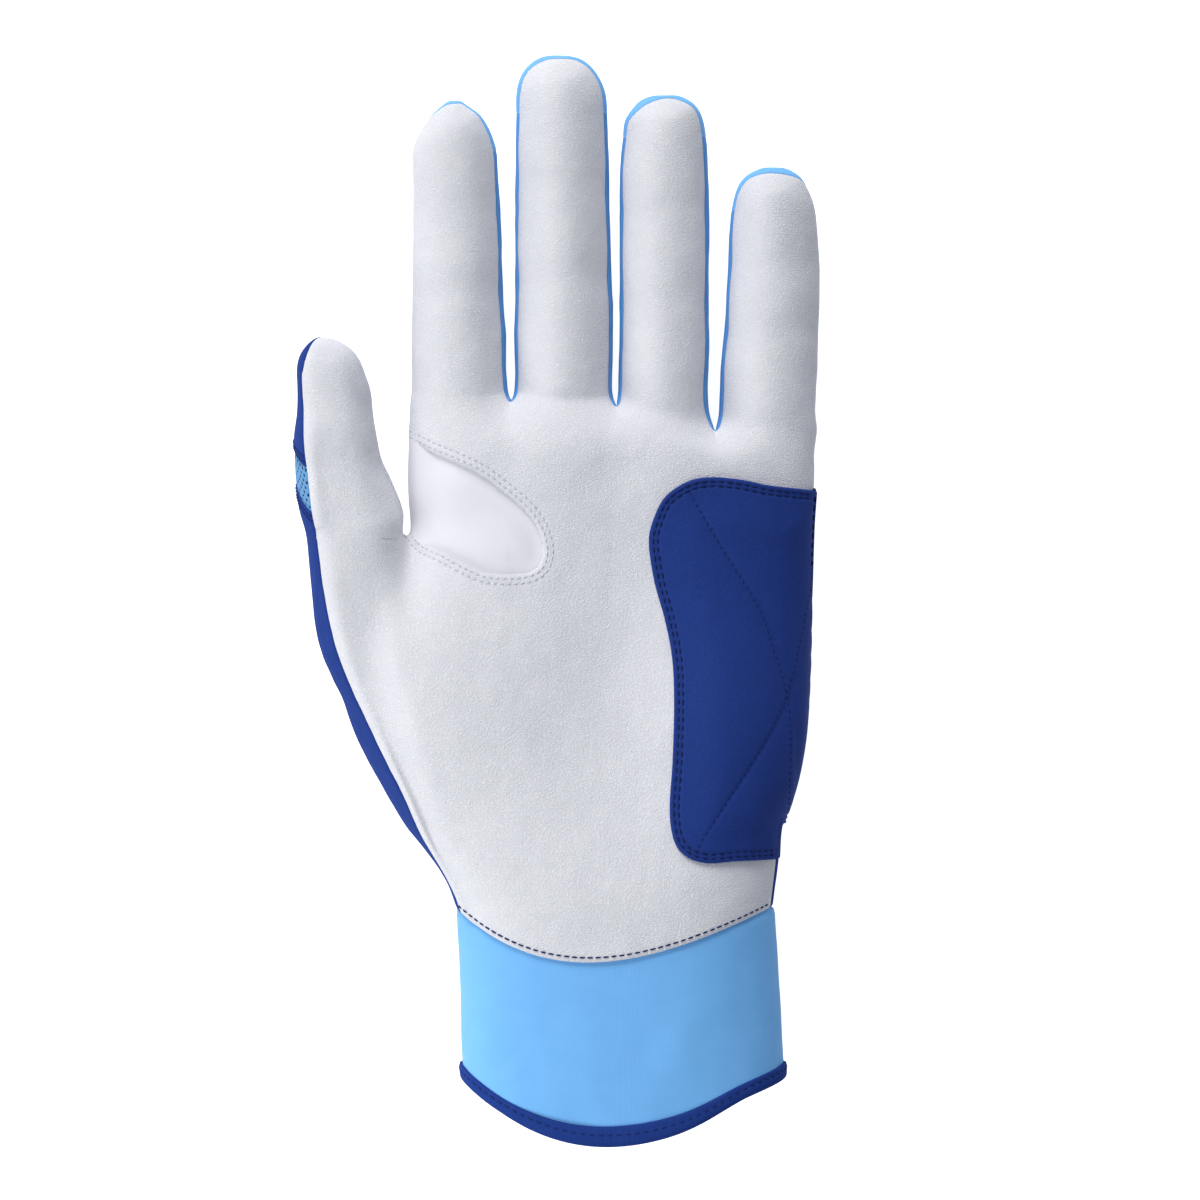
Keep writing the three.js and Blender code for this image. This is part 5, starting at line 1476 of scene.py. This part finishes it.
# The fourchettes and webs are the same light blue fabric as the backs, in a darker copy: painted shade in the gaps
# between the fingers and at the crotches.
shaded_light_blue_fabric = fabric("shaded_light_blue_fabric", (0.10, 0.33, 0.74), (0.12, 0.37, 0.79), pitch=0.00045,
                        depth=0.00004)
for node in [panel for panel in PANELS if panel.endswith("fourchette")]:
    sew_panel(node, FABRIC_WALL, shaded_light_blue_fabric, node.split("_")[0])
for node in [panel for panel in PANELS if panel.endswith("web")]:
    sew_panel(node, WEB_WALL, shaded_light_blue_fabric, "hand")


# Back of the hand and of the thumb. The real pieces are royal blue neoprene-backed fabric: one
# panel over the back, a strip down the thumb's side, and the thumb's base and tip.
royal_fabric = fabric("royal_fabric", (0.014, 0.042, 0.22), (0.020, 0.056, 0.28), pitch=0.0005,
                      depth=0.00008, rough=0.85, sheen=0.01, gloss=0.05)
for node, follows in (("hand_back", "hand"), ("thumb_side_panel", "hand"), ("thumb_base_back", "thumb"),
                      ("thumb_tip_back", "thumb")):
    sew_panel(node, FABRIC_WALL, royal_fabric, follows)


# Vents. The real pieces are light blue warp-knit mesh with rows of oval holes: a window over the
# thumb's joint and a band over the knuckles. A tree opens a hole in each cell of a staggered net.
light_blue_mesh = fabric("light_blue_mesh", (0.10, 0.30, 0.58), (0.13, 0.35, 0.66), pitch=0.0003,
                         depth=0.00003)
vent_tree, vent_in, vent_out = new_shaping_tree("vent_holes", (
    ("Open share", "NodeSocketFloat", 0.5), ("Fabric", "NodeSocketMaterial", None)))
vented = add_node(vent_tree, "GeometryNodeInputNamedAttribute", {"data_type": "BOOLEAN"},
                  {"Name": "vented"})
cells_out = add_node(vent_tree, "GeometryNodeExtrudeMesh", {"mode": "FACES"},
                     {"Mesh": vent_in.outputs["Geometry"], "Selection": vented.outputs["Attribute"],
                      "Offset Scale": 0.0, "Individual": True})
shrunk = add_node(vent_tree, "GeometryNodeScaleElements", {"domain": "FACE"},
                  {"Geometry": cells_out.outputs["Mesh"], "Selection": cells_out.outputs["Top"],
                   "Scale": vent_in.outputs["Open share"]})
opened = add_node(vent_tree, "GeometryNodeDeleteGeometry", {"domain": "FACE"},
                  {"Geometry": shrunk.outputs["Geometry"], "Selection": cells_out.outputs["Top"]})
end_tree(vent_tree, opened.outputs["Geometry"], vent_in.outputs["Fabric"], vent_out)
VENT_ZIGZAG = 0.16
VENT_EDGE_SINK = 0.1


def panel_lattice(node):
    """A panel's points and normals as a lattice, by column and row of the net."""
    chosen = (skin["panels"] == PANELS.index(node)) & (skin["places"][:, 0, 1] < CAP_ROW)
    faces, places = skin["faces"][chosen].ravel(), skin["places"][chosen].reshape(-1, 2)
    parts = 2 ** SKIN_LEVELS
    at = np.rint((places - places.min(axis=0)) * parts).astype(int)
    lattice = np.zeros((*(at.max(axis=0) + 1), 6))
    lattice[at[:, 0], at[:, 1], :3] = skin["points"][faces]
    lattice[at[:, 0], at[:, 1], 3:] = skin["normals"][faces]
    return lattice


def on_lattice(lattice, u, v):
    """Reads a lattice at shares of its width and length."""
    x, y = u * (lattice.shape[0] - 1), v * (lattice.shape[1] - 1)
    i, k = min(int(x), lattice.shape[0] - 2), min(int(y), lattice.shape[1] - 2)
    x, y = x - i, y - k
    low = lattice[i, k] * (1 - x) + lattice[i + 1, k] * x
    high = lattice[i, k + 1] * (1 - x) + lattice[i + 1, k + 1] * x
    return low * (1 - y) + high * y


def vent_panel(node, pitches, open_share, wall, margin, follows):
    """A panel of mesh: holes at two pitches in millimetres, with rows left whole at its edges."""
    lattice = panel_lattice(node)
    middle = lattice[:, lattice.shape[1] // 2, :3]
    across = np.linalg.norm(np.diff(middle, axis=0), axis=1).sum()
    along = np.linalg.norm(np.diff(lattice[:, :, :3], axis=1), axis=2).sum(axis=1).mean()
    columns, rows = round(across / pitches[0]), round(along / pitches[1])
    points, faces, uvs, vents, index = [], [], [], [], {}

    def corner(i, k):
        if (i, k) not in index:
            on_border = k in (0, rows) or i in (0, 2 * columns)
            zigzag = 0.0 if on_border else VENT_ZIGZAG if (i + k) % 2 else -VENT_ZIGZAG
            u, v = i / (2 * columns), (k + zigzag) / rows
            place = on_lattice(lattice, u, v)
            normal = place[3:] / np.linalg.norm(place[3:])
            edge = VENT_EDGE_SINK if on_border else 0.0
            index[i, k] = len(points)
            points.append((place[:3] - normal * edge + WRIST_LINE) * MM)
            uvs.append((u * across * MM, v * along * MM))
        return index[i, k]

    for k in range(rows):
        starts = list(range(k % 2, 2 * columns - 1, 2))
        cells = [(i, min(i + 2, 2 * columns)) for i in starts]
        if k % 2:
            cells = [(0, 1)] + cells
            if cells[-1][1] < 2 * columns:
                cells.append((2 * columns - 1, 2 * columns))
        for low, high in cells:
            ring = [corner(i, k) for i in range(low, high + 1)]
            ring += [corner(i, k + 1) for i in range(high, low - 1, -1)]
            faces.append(ring)
            whole = high - low == 2 and margin <= k < rows - margin
            vents.append(whole and low >= 2 * margin and high <= 2 * columns - 2 * margin)
    mesh = woven_mesh(node + "_sewn", points, faces, [[uvs[i] for i in face] for face in faces])
    flags = mesh.attributes.new("vented", "BOOLEAN", "FACE")
    flags.data.foreach_set("value", vents)
    piece = grown(node + "_sewn", mesh, vent_tree,
                  {"Open share": open_share, "Fabric": light_blue_mesh})
    thick = piece.modifiers.new("wall", "SOLIDIFY")
    thick.thickness = wall * MM
    thick.offset = -1
    keep_shape(piece, thick)
    declare(node, across * along * MM * MM, along * MM)
    move_with(piece, follows)


vent_panel("thumb_flex_mesh", (1.7, 1.0), open_share=0.58, wall=0.3, margin=0, follows="thumb")
# Two rows of stitches below the window and two above it, in steps of the net from its edges.
WINDOW_STEPS = (0.24, 0.48)
window_rows = []
for node, side in (("thumb_base_back", -1), ("thumb_tip_back", 1)):
    panel = panel_lattice(node)
    for step in WINDOW_STEPS:
        row = side * step * 2 ** SKIN_LEVELS / (panel.shape[1] - 1)
        read = [on_lattice(panel, u, row % 1) for u in np.linspace(0.02, 0.98, 60)]
        window_rows.append(([p[:3] for p in read], [p[3:] for p in read]))
window_stitches = stitch_rows("thumb_back_stitches", window_rows, royal_thread,
                              pitch=1.3, length=1.1, width=0.5, lift=0.05)
follow(window_stitches)
vent_panel("knuckle_panel", (1.5, 1.3), open_share=0.5, wall=0.6, margin=2, follows="hand")


# Cuff. The real piece is a tube of light blue neoprene-backed stretch fabric, tucked under the
# palm's lower edge, sewn there, and slit at the back.

# Pieces round the wrist are sections swept on its oval, at angles in degrees from the little-finger
# side, with 90 at the middle of the palm.
CUFF_WALL = 1.5
CUFF_TUCK = 6.0
CUFF_TUCK_GAP = 0.25
CUFF_SWELL = 1.0
CUFF_DROP = 0.8
STITCH_ROOM = 0.25
CUFF_SIDE_LENGTH = 39.8
CUFF_TOP_HALF = 37.15
CUFF_HEM_HALF = 37.7
CUFF_LEAN = 2.2
CUFF_PALM_DIP = 13.0
HEM_TAPE_GAIN = 0.9
CUFF_SKEW = 0.25
HEM_LIFT = 0.1
FOLD_HEIGHT = 0.42
SLIT_ANGLE = 250
SLIT_HALF = math.degrees(3.5 / WRIST_HALF)
SEAT_GAP = 0.3


def wrist_direction(angle):
    across, up = math.cos(math.radians(angle)), math.sin(math.radians(angle))
    power = 2 / SECTION_POWER
    return math.copysign(abs(across) ** power, across), math.copysign(abs(up) ** power, up)


def leather_edge(angle):
    return edge_height(wrist_direction(angle)[0], math.sin(math.radians(angle)) > 0)


def mid_palm(angle):
    """1 at the middle of the palm's side and 0 at the sides and the back."""
    if math.sin(math.radians(angle)) <= 0:
        return 0.0
    return max(0.0, 1 - (wrist_direction(angle)[0] / 0.75) ** 2)


def hem_height(angle):
    """The cuff's hem, which dips on the palm's side."""
    side = wrist_direction(angle)[0]
    dip = 0.0
    if math.sin(math.radians(angle)) > 0:
        lift = HEM_LIFT * math.exp(-((side - 0.72) / 0.24) ** 2)
        dip = (1 - side ** 2) * (1 - CUFF_SKEW * side) - lift
    return -CUFF_SIDE_LENGTH - CUFF_PALM_DIP * dip - HEM_TAPE_GAIN * mid_palm(angle)


def wrist_point(angle, y, offset):
    """A point at a height and at an offset from the cuff's face, which tucks in under the palm."""
    swell = float(smooth(leather_edge(angle) - y, -CUFF_SWELL, CUFF_SWELL))
    down = min(max(-y / CUFF_SIDE_LENGTH, 0), 1)
    tuck = LEATHER_WALL + CUFF_TUCK_GAP
    full_width = CUFF_TOP_HALF + (CUFF_HEM_HALF - CUFF_TOP_HALF) * down
    half_width = WRIST_HALF - tuck + (full_width - WRIST_HALF + tuck) * swell
    half_depth = WRIST_DEPTH / 2 - CUFF_DROP - (tuck - CUFF_DROP) * (1 - swell)
    x_side, z_side = wrist_direction(angle)
    x = CUFF_LEAN * (0.15 + 0.85 * down) * swell + (half_width + offset) * x_side
    z = CUFF_CENTRE_Z + (half_depth + offset) * z_side
    return np.array([x, y, max(z, REST_LEVEL + STITCH_ROOM)])


WRIST_RADIUS = 27.0


def round_wrist(name, angles, section_at, material, crumple=None):
    """Sweeps a closed section of (offset, height) points round the wrist, with flat ends."""
    rings, places = [], []
    for i, angle in enumerate(angles):
        section = section_at(angle)
        if crumple:
            section = [(offset + crumple(angle, y), y) for offset, y in section]
        ring = np.array([wrist_point(angle, y, offset) for offset, y in section])
        rings.append(ring)
        lengths = np.concatenate([[0], np.cumsum(np.linalg.norm(np.diff(ring, axis=0), axis=1))])
        places.append([(math.radians(angle) * WRIST_RADIUS * MM, t * MM) for t in lengths])
    count = len(rings[0])
    points = (np.vstack(rings) + WRIST_LINE) * MM
    faces, uvs = [], []
    for i in range(len(rings) - 1):
        for k in range(count):
            after = (k + 1) % count
            low, high = i * count, (i + 1) * count
            faces.append([low + k, high + k, high + after, low + after])
            uvs.append([places[i][k], places[i + 1][k], places[i + 1][after], places[i][after]])
    last = (len(rings) - 1) * count
    for end, flip in ((0, False), (last, True)):
        half = count // 2
        for k in range(half - 1):
            cap = [end + k, end + k + 1, end + count - 2 - k, end + count - 1 - k]
            faces.append(cap[::-1] if flip else cap)
            uvs.append([(0.0, 0.0)] * 4)
    mesh = woven_mesh(name, points.tolist(), faces, uvs)
    mesh.shade_smooth()
    mesh.materials.append(material)
    return add_object(name, mesh)


def layer_section(inner, outer, low, high, rows, edge=0.35):
    """A flat layer with rounded edges: up its outer face and down its inner face."""
    edge = min(edge, (outer - inner) / 2)
    heights = np.linspace(low + edge, high - edge, rows)
    up_outer = [(outer - edge * 0.7, low + edge * 0.1), (outer - edge * 0.2, low + edge * 0.4)]
    up_outer += [(outer, y) for y in heights]
    up_outer += [(outer - edge * 0.2, high - edge * 0.4), (outer - edge * 0.7, high - edge * 0.1)]
    down_inner = [(inner + outer - offset, y) for offset, y in up_outer[::-1]]
    return up_outer + down_inner


def sheet_round_wrist(piece, node):
    area = sum(face.area for face in piece.data.polygons) / 2
    declare(node, area, piece.dimensions[0] * 1.05)


def cuff_folds(angle, y):
    """Soft wrinkles, which fade out towards the palm's edge."""
    low = smooth(leather_edge(angle) - y, 3, 12)
    place = wrist_point(angle, y, 0)
    soft = noise.fractal(Vector((place[0] / 15, y / 26, place[2] / 15)), 0.7, 2.0, 2)
    return float(low) * FOLD_HEIGHT * soft


CUFF_STEPS = 220
cuff_angles = np.linspace(SLIT_ANGLE - 360 + SLIT_HALF, SLIT_ANGLE - SLIT_HALF, CUFF_STEPS)
cuff = round_wrist("cuff_sewn", cuff_angles, lambda angle: layer_section(
    -CUFF_WALL, 0, hem_height(angle), leather_edge(angle) + CUFF_TUCK, rows=44), light_blue_fabric,
    cuff_folds)
sheet_round_wrist(cuff, "cuff")
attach(cuff, "hand")


# Cuff binding. The real piece is a royal blue tape folded round the cuff's slanting hem and sewn
# through with one row of stitches.
BINDING_WALL = 0.5
BINDING_GAP = 0.05
BINDING_HEIGHT = 4.0
BINDING_STITCH_RISE = 2.1


def binding_section(angle):
    """The tape from its outer edge, round under the hem and up to its inner edge, and back."""
    outer, inner = BINDING_GAP + BINDING_WALL, -CUFF_WALL - BINDING_GAP - BINDING_WALL
    middle, reach = (outer + inner) / 2, (outer - inner) / 2
    low = hem_height(angle) - SEAT_GAP - BINDING_WALL
    high, fold = low + BINDING_HEIGHT + HEM_TAPE_GAIN * mid_palm(angle), low + reach
    path = [(outer - 0.12, high), (outer, high - 0.3), (outer + 0.12, high - 0.8),
            (outer + 0.02, high - 1.3), (outer + 0.12, (high + fold) / 2)]
    path += [(middle + reach * math.cos(t), fold - reach * math.sin(t))
             for t in np.linspace(0, math.pi, 11)]
    path += [(inner, (high + fold) / 2), (inner, high)]
    narrower = 1 - BINDING_WALL / reach
    inward = [(middle + (offset - middle) * narrower, max(y, low + BINDING_WALL)) for offset, y in path]
    return (path + inward[::-1])[::-1]


binding = round_wrist("cuff_binding_sewn", cuff_angles, binding_section, royal_fabric)
sheet_round_wrist(binding, "cuff_binding")
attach(binding, "hand")


def outward(angle):
    x_side, z_side = wrist_direction(angle)
    return np.array([x_side, 0, z_side])


row_angles = cuff_angles[2:-2]
binding_row = [wrist_point(angle, hem_height(angle) + BINDING_STITCH_RISE, BINDING_GAP + BINDING_WALL)
               for angle in row_angles]
binding_stitches = stitch_rows("cuff_binding_stitches",
                               [(binding_row, [outward(angle) for angle in row_angles])], royal_thread,
                               pitch=2.1, length=1.6, width=0.45, lift=0.02)
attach(binding_stitches, "hand")


# Inside the cuff. The real pieces are a royal blue gusset behind the slit and a flat band of white
# knitted elastic, stretched as it is sewn so that it gathers the palm's side.
INSIDE = (-CUFF_WALL - 1.3, -CUFF_WALL - 0.5)
SLIT_REACH = 2.2 * SLIT_HALF
ELASTIC_ANGLES = (48, 132)
ELASTIC_HEIGHTS = (-28, -20)
GATHER = 0.12
slit_angles = np.linspace(SLIT_ANGLE - SLIT_REACH, SLIT_ANGLE + SLIT_REACH, 24)
slit = round_wrist("slit_gusset_sewn", slit_angles, lambda angle: layer_section(
    *INSIDE, hem_height(angle) - 1.0 + BINDING_HEIGHT + SEAT_GAP, leather_edge(angle) + CUFF_TUCK,
    rows=30, edge=0.2), royal_fabric)
sheet_round_wrist(slit, "slit_gusset")
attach(slit, "hand")

white_elastic = fabric("white_elastic", (0.62, 0.64, 0.68), (0.82, 0.83, 0.86), pitch=0.0008,
                       depth=0.0001, sheen=0.2)
elastic_section = layer_section(*INSIDE, *ELASTIC_HEIGHTS, rows=8, edge=0.2)
elastic = round_wrist("wrist_elastic_sewn", np.linspace(*ELASTIC_ANGLES, 120),
                      lambda angle: elastic_section, white_elastic,
                      lambda angle, y: GATHER * math.sin(angle * 3.6) - GATHER)
sheet_round_wrist(elastic, "wrist_elastic")
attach(elastic, "hand")


# Closure. The real pieces are a royal blue strap on the back of the wrist, sewn down on the thumb
# side, with a hook patch under its free end and a loop patch sewn to the cuff.
STRAP_DROP = 22.5
STRAP_HALF_WIDTH = 13.0
STRAP_WALL = 1.5
STRAP_END = 324
STRAP_START = 208
STRAP_ROUND = 9.0
STRAP_STACK = 2.5
STRAP_ROW_ENDS = (210, 322)
STRAP_ROW_INSET = 1.6
STRAP_BARS = (210.5, 218.5)
STRAP_BAR_HALF = 11.4
PATCH_WALL = 0.8
LOOP_ANGLES, LOOP_HALF_WIDTH = (266, 334), 12
HOOK_ANGLES, HOOK_HALF_WIDTH = (282, 314), 10


def strap_rise(angle):
    """How far the strap lies off the cuff: close at its sewn end and over the patches after it."""
    return SEAT_GAP + (STRAP_STACK - SEAT_GAP) * float(smooth(angle, 220, 238))


def strap_half(angle, inset=0.0):
    """Half the strap's width, which rounds off at its free end."""
    round_from = STRAP_END - math.degrees(STRAP_ROUND / WRIST_HALF)
    share = min(max((angle - round_from) / (STRAP_END - round_from), 0), 1)
    return STRAP_HALF_WIDTH - inset - STRAP_ROUND * (1 - math.sqrt(max(1 - share ** 2, 0.0001)))


free_end = np.linspace(0.05, math.pi / 2, 14)
strap_angles = np.concatenate([np.linspace(STRAP_START, STRAP_END - 14, 70),
                               STRAP_END - 14 * np.cos(free_end)])
strap = round_wrist("strap_sewn", strap_angles, lambda angle: layer_section(
    strap_rise(angle), strap_rise(angle) + STRAP_WALL, -STRAP_DROP - strap_half(angle),
    -STRAP_DROP + strap_half(angle), rows=20, edge=0.5), royal_fabric)
sheet_round_wrist(strap, "strap")
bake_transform(strap)


def strap_line(side):
    """A row of stitches along the strap inside its upper edge, at 1, or its lower edge, at -1."""
    angles = np.linspace(*STRAP_ROW_ENDS, 60)
    heights = [-STRAP_DROP + side * strap_half(a, STRAP_ROW_INSET) for a in angles]
    places = [wrist_point(a, y, strap_rise(a) + STRAP_WALL) for a, y in zip(angles, heights)]
    return places, [outward(a) for a in angles]


def strap_bar(angle):
    """A row of stitches across the strap, which holds its sewn end."""
    heights = np.linspace(-STRAP_DROP - STRAP_BAR_HALF, -STRAP_DROP + STRAP_BAR_HALF, 12)
    places = [wrist_point(angle, y, strap_rise(angle) + STRAP_WALL) for y in heights]
    return places, [outward(angle)] * len(heights)


strap_rows = [strap_line(1), strap_line(-1)] + [strap_bar(angle) for angle in STRAP_BARS]
strap_stitches = stitch_rows("strap_stitches", strap_rows, royal_thread,
                             pitch=2.1, length=1.6, width=0.45, lift=0.02)
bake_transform(strap_stitches)


def pile(name, dark, light, size, depth):
    """Standing loops or hooks, with tufts of a size and a depth in metres."""
    material, tree, shader = new_material(name, 0.95, {"Sheen Weight": 0.3})
    tufts = add_node(tree, "ShaderNodeTexVoronoi", None,
                     {"Vector": object_place(tree), "Scale": 1 / size})
    tree.links.new(colour_between(tree, tufts.outputs["Distance"], 0.1, 0.7, light, dark),
                   shader.inputs["Base Color"])
    raise_surface(tree, shader, tufts.outputs["Distance"], 0.8, depth)
    return material


loop_pile = pile("royal_loop", (0.006, 0.018, 0.10), (0.020, 0.050, 0.26), size=0.0007, depth=0.0004)
loop_section = layer_section(SEAT_GAP, SEAT_GAP + PATCH_WALL, -STRAP_DROP - LOOP_HALF_WIDTH,
                             -STRAP_DROP + LOOP_HALF_WIDTH, rows=16, edge=0.3)
loop = round_wrist("loop_patch_sewn", np.linspace(*LOOP_ANGLES, 60), lambda angle: loop_section,
                   loop_pile)
sheet_round_wrist(loop, "loop_patch")
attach(loop, "hand")
hook_pile = pile("royal_hook", (0.008, 0.022, 0.12), (0.030, 0.070, 0.30), size=0.0005, depth=0.0003)
hook_face = STRAP_STACK - SEAT_GAP
hook_section = layer_section(hook_face - PATCH_WALL, hook_face, -STRAP_DROP - HOOK_HALF_WIDTH,
                             -STRAP_DROP + HOOK_HALF_WIDTH, rows=12, edge=0.3)
hook = round_wrist("hook_patch_sewn", np.linspace(*HOOK_ANGLES, 36), lambda angle: hook_section,
                   hook_pile)
sheet_round_wrist(hook, "hook_patch")
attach(hook, "closure_strap")


# Studio. A pale floor, one large soft lamp above the fingertips, a small one low on the thumb's side
# and an even pale sky. The camera looks straight down on the palm from 1.2 m.
CAMERA_HEIGHT = 1.2
VIEW_WIDTH = 0.282
AIM = (0.0100, -0.00093)
SENSOR_WIDTH = 36.0
FLOOR_HALF = 3
floor_material, floor_tree, floor_shader = new_material("pale_floor", 0.9)
floor_shader.inputs["Base Color"].default_value = (0.88, 0.89, 0.92, 1)
rays = add_node(floor_tree, "ShaderNodeLightPath")
seen = maths(floor_tree, "MAXIMUM", rays.outputs["Is Camera Ray"],
             maths(floor_tree, "MAXIMUM", rays.outputs["Is Glossy Ray"],
                   rays.outputs["Is Transmission Ray"]))
floor_tree.links.new(maths(floor_tree, "MULTIPLY", seen, 0.92),
                     floor_shader.inputs["Emission Strength"])
floor_shader.inputs["Emission Color"].default_value = (1, 1, 1, 1)
floor_mesh = bpy.data.meshes.new("floor")
floor_corners = [(x * FLOOR_HALF, y * FLOOR_HALF, 0) for x, y in ((-1, -1), (1, -1), (1, 1), (-1, 1))]
floor_mesh.from_pydata(floor_corners, [], [(0, 1, 2, 3)])
floor_mesh.materials.append(floor_material)
add_object("floor", floor_mesh)

world = bpy.data.worlds.new("sky")
world.use_nodes = True
bpy.context.scene.world = world
sky = world.node_tree.nodes["Background"]
SKY_STRENGTH = 0.37
sky_tree = world.node_tree
sky_rays = add_node(sky_tree, "ShaderNodeLightPath")
sky_seen = maths(sky_tree, "MAXIMUM", sky_rays.outputs["Is Camera Ray"],
                 sky_rays.outputs["Is Glossy Ray"])
sky_colour = colour_between(sky_tree, sky_seen, 0, 1, (0.86, 0.91, 1.0), (1, 1, 1))
sky_tree.links.new(sky_colour, sky.inputs["Color"])
sky_gain = maths(sky_tree, "MULTIPLY", sky_seen, 1 - SKY_STRENGTH)
sky_strength = maths(sky_tree, "ADD", sky_gain, SKY_STRENGTH)
sky_tree.links.new(sky_strength, sky.inputs["Strength"])


def lamp(name, place, size, power, colour):
    light = bpy.data.lights.new(name, "AREA")
    light.shape, light.size, light.energy, light.color = "DISK", size, power, colour
    item = add_object(name, light)
    item.location = place
    item.rotation_euler = (-Vector(place)).to_track_quat("-Z", "Y").to_euler()


lamp("key", (-0.40, 1.26, 0.74), size=0.8, power=17.0, colour=(1.0, 0.98, 0.97))
lamp("side", (-0.34, -0.30, 0.24), size=0.28, power=1.3, colour=(1.0, 0.99, 0.98))

camera_data = bpy.data.cameras.new("camera")
camera_data.sensor_width = SENSOR_WIDTH
camera_data.lens = SENSOR_WIDTH * CAMERA_HEIGHT / VIEW_WIDTH
camera = add_object("camera", camera_data)
camera.location = (*AIM, CAMERA_HEIGHT + WRIST_LINE[2] * MM)
bpy.context.scene.camera = camera
bpy.context.scene.view_settings.view_transform = "Standard"
